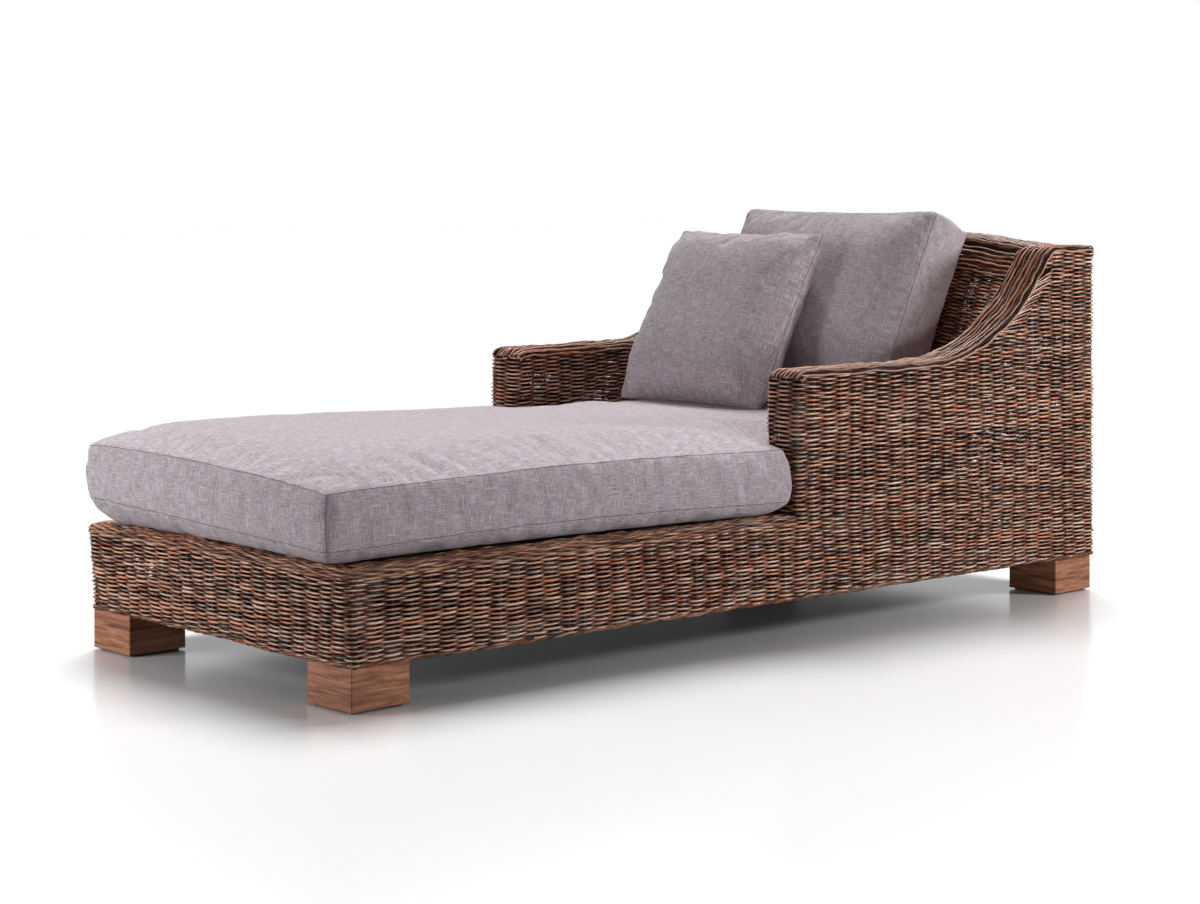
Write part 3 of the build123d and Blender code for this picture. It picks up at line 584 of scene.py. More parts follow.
def lay_side(sign):
    """Rows and stakes of one outer side."""
    reeds = Reeds()
    out = Vector((sign, -SPREAD, 0))
    for row, z in row_heights(FIRST_ROW, BACK_TOP - CAP_DROP + 0.003):
        start, tail = TURN, []
        if z > RIM_UNDER:
            start = ARM_START + TURN if z <= ARM_TOP - NOSE else top_line(z, CAP_DROP - 0.004)
            tail = swoop_tail(z, CAP_DROP)
        if tail:
            start = tail.pop()[0] + 0.004
        count = max(2, math.ceil((LENGTH - TURN - start) / STEP))
        # the tails of every other row lie on top, the rest are sunk and short
        even = 2 * round((side_stake(start) + row) / 2) - row
        tail = tail[-3:] if row % 2 else tail
        stake = even + (0.8 if row % 2 else 0.25)
        line = [(Vector((*side_point(d, WALL - 0.0022, sign), h)), out, stake) for d, h in tail]
        for i in range(count + 1):
            d = start + (LENGTH - TURN - start) * i / count
            line.append((Vector((*side_point(d, WALL, sign), z)), out, side_stake(d)))
        reeds.lay(line, row)
    for k in range(STAKES + 1):
        d = TURN + (LENGTH - 2 * TURN) * k / STAKES
        lay_stake(reeds, side_point(d, WALL, sign), out.xy, FOOT_TOP, stake_top(d), k)
    places = [side_point(TURN + (LENGTH - 2 * TURN) * i / 200, 0.0, sign) for i in range(201)]
    lay_border(reeds, places, [out.xy] * len(places))
    return reeds


def front_bulge(z):
    """How far the foot end leans out at a height."""
    t = min(1.0, max(0.0, (z - FIRST_ROW) / (DECK - FIRST_ROW)))
    return 0.011 * t * t * (3 - 2 * t)


def front_plan(inset, z=FIRST_ROW):
    """Plan line across the foot end, between the two places where the side rows begin."""
    start, stop = side_point(TURN, inset, -1), side_point(TURN, inset, 1)
    left, right = side_point(0, inset, -1), side_point(0, inset, 1)
    left.y = right.y = FOOT_Y + inset - front_bulge(z)
    return bend([start, left, right, stop], 0.012 - min(inset, 0.009))


def lay_front():
    """Rows and stakes of the foot end, which leans out a little towards its top."""
    reeds = Reeds()
    stakes = 22
    for row, z in row_heights(FIRST_ROW, RIM_UNDER):
        plan, whole = front_plan(WALL, z)
        reeds.lay(level_line(plan, z, lambda s: s / whole * stakes), row)
    for k in range(1, stakes):
        x = half_width(0) * (2 * k / stakes - 1)
        lay_stake(reeds, Vector((x, FOOT_Y + WALL)), Vector((0, -1)), FOOT_TOP, RIM_UNDER, k, front_bulge)
    edge = front_plan(0.0)[0]
    lay_border(reeds, [p for p, o, s in edge], [o for p, o, s in edge])
    return reeds


def lay_rim():
    """Lengthwise strands over the rounded top edge and the ledge beside the seat cushion."""
    reeds = Reeds()
    edge, skin, pitch, ledge, wrap = 0.013, 0.0032, 0.0046, 0.064, 0.036
    deep = edge - skin
    section = [(skin, DECK - edge - 0.003, 90.0)]
    for angle in (90.0, 68.0, 45.0, 22.0, 0.0):
        a = math.radians(angle)
        section.append((edge - deep * math.sin(a), DECK - edge + deep * math.cos(a), angle))
    inset = edge + pitch
    while inset < ledge:
        section.append((inset, DECK - skin, 0.0))
        inset += pitch
    end = ARM_START + 0.002
    for number, (inset, z, angle) in enumerate(section):
        a = math.radians(angle)
        corners = [side_point(d, inset, side) for d, side in ((end, -1), (0, -1), (0, 1), (end, 1))]
        corners[1].y = corners[2].y = FOOT_Y + inset - front_bulge(z)
        line = []
        for p, o, s in bend(corners, max(0.004, 0.016 - inset))[0]:
            out = Vector((o.x * math.sin(a), o.y * math.sin(a), math.cos(a)))
            line.append((Vector((p.x, p.y, z)), out, s / wrap))
        reeds.lay(line, 800 + number, depth=0.0012, thick=0.0023)
    return reeds


def lay_arm_inner(sign):
    """Rows of the arm's front face and inner face, up to the leaning back."""
    reeds = Reeds()
    meet = side_stake(ARM_START + TURN)
    pitch = (LENGTH - 2 * TURN) / STAKES
    inner, turning = ARM_WIDTH - WALL, 0.010
    for row, z in row_heights(DECK - 0.012, BACK_TOP - CAP_DROP):
        leant = PANEL_FOOT + max(0.0, z - DECK) * math.tan(LEAN) + 0.006
        if z <= ARM_TOP - 0.005:
            straight = z <= ARM_TOP - NOSE
            front = ARM_START if straight else top_line(z, WALL) if z < ARM_TOP - WALL else ARM_START + NOSE
            back = front + 0.025 if z > ARM_TOP - CAP_DROP else leant
            round_nose = ((back, inner), (front, inner), (front, WALL), (front + TURN, WALL))
            corners = [side_point(d, inset, 1) for d, inset in round_nose]
            corners[1].y = corners[2].y = FOOT_Y + front + WALL if straight else FOOT_Y + front
            plan, whole = bend(corners, turning)
            reeds.lay(level_line(plan, z, lambda s: meet - (whole - s) / pitch, sign), row)
        if z > ARM_TOP - CAP_DROP:
            start = max(top_line(z, CAP_DROP), SWOOP_START)
            if leant - start < 0.012:
                continue
            plan, whole = bend([side_point(leant, inner, 1), side_point(start, inner, 1)], turning)
            skipped = (start - ARM_START) / pitch
            reeds.lay(level_line(plan, z, lambda s: meet - (whole - s) / pitch - skipped, sign), row)
    for k in range(14):
        d = ARM_START + 0.012 + k * pitch
        top = min(BACK_TOP - CAP_DROP, ARM_TOP - CAP_DROP + max(0.0, d - SWOOP_START - 0.05) * 0.35)
        low = DECK if d < PANEL_FOOT else DECK + (d - PANEL_FOOT) / math.tan(LEAN)
        if low < top - 0.02:
            lay_stake(reeds, side_point(d, ARM_WIDTH - WALL, sign), Vector((-sign, 0)), low, top, k)
    for k in (1, 2):
        place = side_point(ARM_START + WALL, k * ARM_WIDTH / 3, sign)
        lay_stake(reeds, place, Vector((0, -1)), DECK, ARM_TOP - NOSE + 0.01, 40 + k)
    return reeds


def arm_profile(drop):
    """Points along the arm's top line lowered by drop, with their outward directions and lengths so far."""
    points = []
    for a in (0.62, 0.86, 1.10, 1.34):
        r = NOSE - drop
        points.append((ARM_START + NOSE - r * math.cos(a), ARM_TOP - NOSE + r * math.sin(a), -math.cos(a),
                       math.sin(a)))
    run = SWOOP_START - ARM_START - NOSE
    parts = math.ceil(run / STEP)
    for k in range(parts + 1):
        points.append((ARM_START + NOSE + run * k / parts, ARM_TOP - drop, 0.0, 1.0))
    parts = math.ceil((SWOOP + drop) * SWOOP_TURN / STEP)
    for k in range(1, parts + 1):
        a = SWOOP_TURN * k / parts
        r = SWOOP + drop
        points.append((SWOOP_START + r * math.sin(a), ARM_TOP + SWOOP - r * math.cos(a), -math.sin(a),
                       math.cos(a)))
    parts = 7
    for k in range(1, parts + 1):
        a = SWOOP_TURN * (1 - k / parts)
        r = CREST - drop
        points.append((CREST_START - r * math.sin(a), BACK_TOP - CREST + r * math.cos(a), -math.sin(a),
                       math.cos(a)))
    edge = 0.014
    run = LENGTH - edge - CREST_START
    parts = math.ceil(run / STEP)
    for k in range(1, parts + 1):
        points.append((CREST_START + run * k / parts, BACK_TOP - drop, 0.0, 1.0))
    r = max(0.002, edge - drop)
    for k in range(1, 5):
        a = math.radians(90 * k / 4)
        points.append((LENGTH - edge + r * math.sin(a), BACK_TOP - edge + r * math.cos(a), math.sin(a),
                       math.cos(a)))
    points.append((LENGTH - min(drop, edge), BACK_TOP - edge - 0.010, 1.0, 0.0))
    found, so_far = [], 0.0
    for i, (d, z, dd, dz) in enumerate(points):
        if i:
            so_far += math.hypot(d - points[i - 1][0], z - points[i - 1][1])
        found.append((d, z, dd, dz, so_far))
    return found


def lay_arm_cap(sign):
    """Lengthwise strands over the arm's rounded top, from its nose to the back's corner.

    Every other strand of the upper layer lies lower; the lower layer closes the gaps, and painted shade
    darkens the lower-lying strands.
    """
    reeds = Reeds()
    edge = 0.014
    for layer in (0, 1):
        skin = 0.0030 + 0.0032 * layer
        deep = edge - skin
        pitch = 0.0042 if layer else 0.0053
        turns, swept = 3, 31 if layer else 28
        section = [(skin, CAP_DROP + 0.002, 90.0)] if layer else []
        for k in range(turns):
            angle = 78 - swept * k - 6 * layer
            a = math.radians(angle)
            section.append((edge - deep * math.sin(a), edge - deep * math.cos(a), angle))
        flat = ARM_WIDTH - 2 * edge
        count = round(flat / pitch)
        section += [(edge + flat * (k + 0.5) / count, skin, 0.0) for k in range(count)]
        for k in range(turns):
            angle = -26 - swept * k + 16 * layer
            a = math.radians(angle)
            section.append((ARM_WIDTH - edge - deep * math.sin(a), edge - deep * math.cos(a), angle))
        section += [(ARM_WIDTH - skin, CAP_DROP - 0.001 + 0.0058 * k, -90.0) for k in range(2)]
        for number, (inset, drop, angle) in enumerate(section):
            a = math.radians(angle)
            line = []
            for d, z, dd, dz, s in arm_profile(drop):
                place = side_point(d, inset, sign)
                out = Vector((sign * math.sin(a), dd * math.cos(a), dz * math.cos(a)))
                line.append((Vector((place.x, place.y, z)), out, (number + 1) % 2 if layer else 0.0))
            row = 900 + 50 * layer + number
            reeds.lay(line, row, depth=0.0020 if layer else 0.0011, thick=0.0025)
    # under the tails of the side rows, only along the swoop
    for number, drop in enumerate((0.022, 0.026, 0.030, 0.034)):
        line = []
        for d, z, dd, dz, s in arm_profile(drop):
            if SWOOP_START - 0.02 < d < CREST_START + 0.03:
                line.append((Vector((*side_point(d, 0.0062, sign), z)), Vector((sign, 0, 0)),
                             (number + 1) % 2))
        reeds.lay(line, 980 + number, depth=0.0022, thick=0.0024)
    return reeds


def lay_back_outer():
    """Rows of the back's outer face, round both rear corners."""
    reeds = Reeds()
    rear = ((LENGTH - TURN, 1), (LENGTH, 1), (LENGTH, -1), (LENGTH - TURN, -1))
    corners = [side_point(d, WALL, side) for d, side in rear]
    corners[1].y = corners[2].y = FOOT_Y + LENGTH - WALL
    plan, whole = bend(corners, 0.008)
    stakes = 26
    for row, z in row_heights(FIRST_ROW, BACK_TOP - CAP_DROP):
        reeds.lay(level_line(plan, z, lambda s: s / whole * stakes), row, thick=0.0024)
    for row, z in row_heights(BACK_TOP - CAP_DROP, BACK_TOP + ARCH - CAP_DROP):
        reach = ARCH_HALF * math.sqrt(max(0.0, 1 - (z - BACK_TOP + CAP_DROP) / ARCH))
        if reach < 0.03:
            continue
        parts = math.ceil(2 * reach / STEP)
        line = []
        for i in range(parts + 1):
            x = reach * (1 - 2 * i / parts)
            line.append((Vector((x, FOOT_Y + LENGTH - WALL, z)), Vector((0, 1, 0)),
                         (whole / 2 - x) / whole * stakes))
        reeds.lay(line, row)
    for k in range(1, stakes):
        x = whole / 2 - k * whole / stakes
        top = BACK_TOP - CAP_DROP + max(0.0, ARCH * (1 - (x / ARCH_HALF) ** 2))
        lay_stake(reeds, Vector((x, FOOT_Y + LENGTH - WALL)), Vector((0, 1)), FOOT_TOP, top, k)
    edge = [side_point(d, 0, side) for d, side in rear]
    edge[1].y = edge[2].y = FOOT_Y + LENGTH
    plan = bend(edge, 0.012)[0]
    lay_border(reeds, [p for p, o, s in plan], [o for p, o, s in plan])
    return reeds


def on_back(u, v, w):
    """A point by its place across, up the lean, and out of the leaning back."""
    return Vector((u, FOOT_Y + PANEL_FOOT + v * math.sin(LEAN) - w * math.cos(LEAN),
                   DECK + v * math.cos(LEAN) + w * math.sin(LEAN)))


def arch(x):
    """How far the back's top rises over its ends, by the place across."""
    return ARCH * max(0.0, 1 - (x / ARCH_HALF) ** 2)


def lay_back_inner():
    """Rows of the leaning face behind the back cushion."""
    reeds = Reeds()
    out = Vector((0, -math.cos(LEAN), math.sin(LEAN)))
    up = (BACK_TOP - PANEL_DROP - DECK) / math.cos(LEAN)
    stakes = 24
    row = 0
    v = 0.004
    while v < up - 0.050:
        d = PANEL_FOOT + v * math.sin(LEAN)
        reach = half_width(d) - ARM_WIDTH + 0.006
        parts = math.ceil(2 * reach / STEP)
        line = []
        for i in range(parts + 1):
            x = reach * (2 * i / parts - 1)
            line.append((on_back(x, v + arch(x) * v / up, -WALL), out, (x / reach + 1) * stakes / 2))
        reeds.lay(line, row, thick=0.0025)
        v += ARM_PITCH
        row += 1
    for k in range(1, stakes):
        share = 2 * k / stakes - 1
        line = []
        for i in range(20):
            v = up * i / 19
            d = PANEL_FOOT + v * math.sin(LEAN)
            line.append((on_back(share * (half_width(d) - ARM_WIDTH), v, -WALL), out, (k + 1) % 2))
        reeds.lay(line, 500 + k, depth=0.0012, thick=STAKE)
    return reeds


def lay_back_cap():
    """Strands across the arched top of the back: up its inner face, over the top and down the rear.

    Every other strand of the upper layer lies lower; the lower layer closes the gaps, and painted shade
    darkens the lower-lying strands.
    """
    reeds = Reeds()
    edge = 0.016
    up = Vector((math.sin(LEAN), math.cos(LEAN)))
    for layer in (0, 1):
        skin = 0.0036 + 0.0028 * layer
        pitch = 0.0042 if layer else 0.0053
        section = []
        fall = 0.076 - 0.5 * layer * pitch
        while fall > 0.020:
            d = PANEL_TOP + PANEL_DROP * math.tan(LEAN) - fall * up.x + skin * math.cos(LEAN)
            z = BACK_TOP - fall * up.y - skin * math.sin(LEAN)
            section.append((d, z, -math.cos(LEAN), math.sin(LEAN)))
            fall -= pitch
        r = edge - skin
        for angle in (-58.0, -30.0):
            a = math.radians(angle + 14 * layer)
            section.append((PANEL_TOP + 0.018 + r * math.sin(a), BACK_TOP - edge + r * math.cos(a),
                            math.sin(a), math.cos(a)))
        flat = LENGTH - edge - PANEL_TOP - 0.018
        count = round(flat / pitch)
        section += [(PANEL_TOP + 0.018 + flat * (k + 0.5) / count, BACK_TOP - skin, 0.0, 1.0)
                    for k in range(count)]
        for k in range(4):
            a = math.radians(12 + 26 * k - 10 * layer)
            section.append((LENGTH - edge + r * math.sin(a), BACK_TOP - edge + r * math.cos(a), math.sin(a),
                            math.cos(a)))
        for number, (d, z, dd, dz) in enumerate(section):
            reach = half_width(d) - ARM_WIDTH + 0.010
            parts = math.ceil(2 * reach / STEP)
            line = []
            for i in range(parts + 1):
                x = reach * (2 * i / parts - 1)
                line.append((Vector((x, FOOT_Y + d, z + arch(x))), Vector((0, dd, dz)),
                             (number + 1) % 2 if layer else 0.0))
            row = 1000 + 60 * layer + number
            reeds.lay(line, row, depth=0.0020 if layer else 0.0009, thick=0.0025)
    return reeds


sides = {1: "right", -1: "left"}
weave("front_reeds", lay_front(), ["front_weave"], 11)
weave("rim_reeds", lay_rim(), ["rim_left", "rim_right", "rim_front"], 12, Wander=0.0016, Waves=26.0)
for sign, side in sides.items():
    weave(f"side_reeds_{side}", lay_side(sign), [f"side_weave_{side}"], 20 + sign)
    weave(f"arm_inner_reeds_{side}", lay_arm_inner(sign), [f"arm_inner_weave_{side}"], 30 + sign,
          Wander=0.0005, Unevenness=0.12)
    weave(f"arm_top_reeds_{side}", lay_arm_cap(sign), [f"arm_cap_{side}"], 40 + sign, Wander=0.0021,
          Waves=28.0, Unevenness=0.22)
weave("back_outer_reeds", lay_back_outer(), ["back_outer_weave"], 51)
weave("back_inner_reeds", lay_back_inner(), ["back_inner_weave"], 52, Wander=0.0005, Unevenness=0.12)
weave("back_top_reeds", lay_back_cap(), ["back_cap"], 53, Wander=0.0021, Waves=28.0, Unevenness=0.22)


# Black sheet under the base: painted shade for its inside

# Black non-woven cloth: felted fibres in tufts of 1.3 mm, matt; its black is painted shade for the inside of
# the base.
def make_shade_sheet_cloth():
    stops = [(0.3, "#0c0b0b"), (0.7, "#1b1919")]
    return mottled_finish("black_cloth_painted_shade", {"Scale": 800.0, "Detail": 2.0}, stops, (0.3, 0.0003), 0.95)


def make_shade_sheet():
    """The cloth stapled under the lower rails, cut out round the feet; its black paints the shade inside the
    base.
    """
    edge, foot, thick = 0.014, 0.135, 0.0006
    near, far = edge, LENGTH - edge
    plan = [(half_width(near) - foot, near), (half_width(foot) - foot, foot), (half_width(foot) - edge, foot)]
    plan += [(half_width(far - foot) - edge, far - foot), (half_width(far - foot) - foot, far - foot),
             (half_width(far) - foot, far)]
    plan += [(-x, d) for x, d in reversed(plan)]
    count = len(plan)
    points = [(x, FOOT_Y + d, z) for z in (FOOT_TOP - thick, FOOT_TOP) for x, d in plan]
    faces = [tuple(reversed(range(count))), tuple(range(count, 2 * count))]
    faces += [(k, (k + 1) % count, (k + 1) % count + count, k + count) for k in range(count)]
    mesh = bpy.data.meshes.new("shade_sheet_under_base")
    mesh.from_pydata(points, [], faces)
    mesh.materials.append(make_shade_sheet_cloth())
    cover = bpy.data.objects.new("shade_sheet_under_base", mesh)
    scene.collection.objects.link(cover)
    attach(cover, "frame")


make_shade_sheet()


# Cushions
def rounded_loop(corners, bows, radius, parts=14, bits=4):
    """Closed outline: rounded corners, and sides that bow inwards by bows."""
    count = len(corners)
    points = []
    arcs = []
    for i in range(count):
        a, b, c = Vector(corners[i - 1]), Vector(corners[i]), Vector(corners[(i + 1) % count])
        into, away = (b - a).normalized(), (c - b).normalized()
        angle = into.angle_signed(away, 0.0)
        reach = min(radius * math.tan(abs(angle) / 2), (b - a).length * 0.4, (c - b).length * 0.4)
        arcs.append((b - into * reach, b, b + away * reach))
    for i in range(count):
        enter, corner, leave = arcs[i]
        for k in range(bits + 1):
            t = k / bits
            points.append(enter * (1 - t) ** 2 + corner * 2 * t * (1 - t) + leave * t ** 2)
        start, stop = leave, arcs[(i + 1) % count][0]
        along = (stop - start).normalized()
        inward = Vector((-along.y, along.x))
        for k in range(1, parts):
            t = k / parts
            points.append(start.lerp(stop, t) + inward * bows[i] * 4 * t * (1 - t))
    return points


SEAT_LOW, SEAT_HIGH = 0.2753, 0.3783  # heights of the seat cushion's two seams
SEAT_WALL = 0.103  # between them
CLEAR = 0.008  # between the seat cushion and the arms and back
STITCH = 0.004  # between two points of a seam


def crown(t):
    """Share of a cushion's crown reached at a share of the way in from its seam."""
    return 1 - (1 - t) ** 3.4


def seat_lift(x, d, z):
    """How far the loose seat cushion rises off level: most at the far corner of its foot end."""
    across = min(1.0, max(0.0, (0.382 - x) / 0.764))
    along = min(1.0, max(0.0, d / 1.0))
    fade = 1 - along * along * (3 - 2 * along)
    bow = 0.009 if z > 0.33 else 0.0
    middle = 0.010 * 4 * along * (1 - along) * (1 - 0.5 * across)
    return (0.026 * across + bow * 4 * across * (1 - across)) * fade + middle


def seat_loop(z, inset, radius):
    """Outline of the T-shaped seat cushion at a height, drawn in by inset."""
    # the ears bulge beside the arms' fronts and draw in under the upper seam
    ear_draw = 0.002 + 0.020 * min(1.0, max(0.0, (z - SEAT_LOW) / SEAT_WALL)) ** 3
    front = FOOT_Y - 0.033 + 0.005 + inset
    ear = FOOT_Y + ARM_START - CLEAR - inset
    rear = PANEL_FOOT + (z - DECK) * math.tan(LEAN) - CLEAR
    rear_y = FOOT_Y + rear - inset
    front_half = half_width(0) - 0.034 - inset
    ear_half = half_width(ARM_START) - ear_draw - inset
    neck_half = half_width(ARM_START) - ARM_WIDTH - CLEAR - inset
    rear_half = half_width(rear) - ARM_WIDTH - CLEAR - inset
    corners = [(-front_half, front), (front_half, front), (ear_half, ear), (neck_half, ear),
               (rear_half, rear_y), (-rear_half, rear_y), (-neck_half, ear), (-ear_half, ear)]
    bows = [0.006, 0.006, 0, 0, 0, 0, 0, 0.006]
    loop = rounded_loop(corners, bows, radius, parts=16)
    share = min(1.0, max(0.3, (z - DECK) / 0.028))
    return [Vector((p.x, p.y, z + share * seat_lift(p.x, p.y - FOOT_Y, z))) for p in loop]


def skin_over(rings):
    """A closed mesh through rings of points, in order from one end to the other."""
    count = len(rings[0])
    points = [p for ring in rings for p in ring]
    faces = [tuple(reversed(range(count)))]
    for r in range(len(rings) - 1):
        for k in range(count):
            a, b = r * count + k, r * count + (k + 1) % count
            faces.append((a, b, b + count, a + count))
    last = (len(rings) - 1) * count
    faces.append(tuple(last + k for k in range(count)))
    return points, faces


def seat_rings():
    """The seat cushion's outlines from the deck up to its crown, and which of them are seams."""
    low, high, rise = SEAT_LOW, SEAT_HIGH, 0.034
    rings = [seat_loop(DECK + 0.0015, 0.060, 0.02), seat_loop(DECK + 0.0015, 0.034, 0.016)]
    rings.append(seat_loop((DECK + low) / 2, 0.012, 0.014))
    rings.append(seat_loop(low, 0.0, 0.013))
    for t in (0.2, 0.4, 0.6, 0.8):
        rings.append(seat_loop(low + (high - low) * t, -0.004 * 4 * t * (1 - t), 0.014))
    rings.append(seat_loop(high, 0.0, 0.013))
    for t in (0.03, 0.08, 0.15, 0.25, 0.38, 0.55, 0.75, 1.0):
        rings.append(seat_loop(high + rise * crown(t), 0.215 * t, 0.013 + 0.03 * t))
    return rings, (3, 8)


def box_loop(width, foot, height, inset, w, radius):
    """Outline of the back cushion at a distance w out of the leaning back; its sides draw in by 6 mm."""
    half = width / 2 - inset
    low, high = foot + inset, foot + height - inset
    draw = 0.006 * half * 2 / width
    corners = [(-half, low), (half, low), (half, high), (-half, high)]
    loop = rounded_loop(corners, [draw] * 4, radius, parts=22)
    return [on_back(p.x, p.y, w) for p in loop]


def back_rings():
    """The back cushion's outlines from its rear to its front, and which of them are seams."""
    rear, front = 0.0323, 0.1503
    foot, height, width = 0.147, 0.563 + 0.026 - 0.147, 0.578
    rings = []
    for t in (1.0, 0.7, 0.45, 0.27, 0.14, 0.06):
        rings.append(box_loop(width, foot, height, 0.19 * t, rear - 0.032 * crown(t), 0.012 + 0.03 * t))
    rings.append(box_loop(width, foot, height, 0, rear, 0.012))
    for t in (0.25, 0.5, 0.75):
        rings.append(box_loop(width, foot, height, -0.004 * 4 * t * (1 - t), rear + (front - rear) * t,
                              0.013))
    rings.append(box_loop(width, foot, height, 0, front, 0.012))
    for t in (0.06, 0.14, 0.27, 0.45, 0.7, 1.0):
        rings.append(box_loop(width, foot, height, 0.19 * t, front + 0.044 * crown(t), 0.012 + 0.03 * t))
    return rings, (6, 10)


# The pillow stands on its edge in a plane of its own, which leans a little further than the back.
PILLOW_LEAN = math.radians(29)
PILLOW_SIDE = 0.438
PILLOW_MIDDLE = Vector((-0.125, FOOT_Y + 1.4620, 0.5992))


def on_pillow(u, v, w):
    """A point of the pillow by its place across, up its lean, and out of its middle plane."""
    up = Vector((0, math.sin(PILLOW_LEAN), math.cos(PILLOW_LEAN)))
    out = Vector((0, -math.cos(PILLOW_LEAN), math.sin(PILLOW_LEAN)))
    return PILLOW_MIDDLE + Vector((u, 0, 0)) + up * v + out * w


def pillow_form():
    """A knife-edged pillow as two square grids joined along the edge; returns its points, faces and edge."""
    parts = 72
    half = PILLOW_SIDE / 2
    points, numbers = [], {}
    for face in (1, -1):
        for i in range(parts + 1):
            for k in range(parts + 1):
                s, t = 2 * i / parts - 1, 2 * k / parts - 1
                brink = i in (0, parts) or k in (0, parts)
                if brink and face < 0:
                    numbers[face, i, k] = numbers[1, i, k]
                    continue
                # sides pull in a little between the corners, which stay flat and pointed
                u = s * (half - 0.005 * (1 - t * t))
                v = t * (half - 0.005 * (1 - s * s))
                rise = ((1 - abs(s) ** 3.4) * (1 - abs(t) ** 3.4)) ** 0.5
                numbers[face, i, k] = len(points)
                points.append(on_pillow(u, v, face * 0.078 * rise))
    faces = []
    for face in (1, -1):
        for i in range(parts):
            for k in range(parts):
                quad = [numbers[face, i, k], numbers[face, i + 1, k], numbers[face, i + 1, k + 1],
                        numbers[face, i, k + 1]]
                faces.append(quad if face > 0 else quad[::-1])
    edge = [numbers[1, i, 0] for i in range(parts)] + [numbers[1, parts, k] for k in range(parts)]
    edge += [numbers[1, i, parts] for i in range(parts, 0, -1)] + [numbers[1, 0, k]
                                                                   for k in range(parts, 0, -1)]
    return points, faces, [points[n] for n in edge]


def filled_up(points, step=STITCH):
    """A closed line of seam points with more put between them."""
    found = []
    for a, b in zip(points, points[1:] + points[:1]):
        parts = max(1, round((b - a).length / step))
        found += [a.lerp(b, k / parts) for k in range(parts)]
    return found


def remeshed(points, faces, voxel):
    """An even net of small faces over a closed form."""
    rough = bpy.data.meshes.new("rough")
    rough.from_pydata(points, [], faces)
    form = bpy.data.objects.new("rough", rough)
    scene.collection.objects.link(form)
    remesh = form.modifiers.new("remesh", "REMESH")
    remesh.mode = "VOXEL"
    remesh.voxel_size = voxel
    graph = bpy.context.evaluated_depsgraph_get()
    even = bpy.data.meshes.new_from_object(form.evaluated_get(graph), depsgraph=graph)
    bpy.data.objects.remove(form)
    bpy.data.meshes.remove(rough)
    return even


def blow_up(piece, held, fullness, cap):
    """Fills the cushion as cloth under pressure, held where it is sewn or rests; cap limits each move."""
    start = [v.co.copy() for v in piece.data.vertices]
    group = piece.vertex_groups.new(name="held")
    for number, weight in enumerate(held):
        if weight > 0.02:
            group.add([number], weight, "REPLACE")
    cloth = piece.modifiers.new("cloth", "CLOTH")
    sewn = cloth.settings
    sewn.quality = 4
    sewn.mass = 0.3
    sewn.tension_stiffness = sewn.compression_stiffness = 25
    sewn.shear_stiffness = 8
    sewn.bending_stiffness = 0.6
    sewn.use_pressure = True
    sewn.uniform_pressure_force = 4.0
    sewn.shrink_min = -fullness
    sewn.vertex_group_mass = "held"
    sewn.effector_weights.gravity = 0
    frames = 20
    cloth.point_cache.frame_start, cloth.point_cache.frame_end = 1, frames
    for frame_number in range(1, frames + 1):
        scene.frame_set(frame_number)
    graph = bpy.context.evaluated_depsgraph_get()
    blown = bpy.data.meshes.new_from_object(piece.evaluated_get(graph), depsgraph=graph)
    piece.modifiers.clear()
    piece.vertex_groups.clear()
    for vertex, before, after in zip(piece.data.vertices, start, blown.vertices):
        move = after.co - before
        if move.length > cap:
            move *= cap / move.length
        vertex.co = before + move
    bpy.data.meshes.remove(blown)
    scene.frame_set(1)


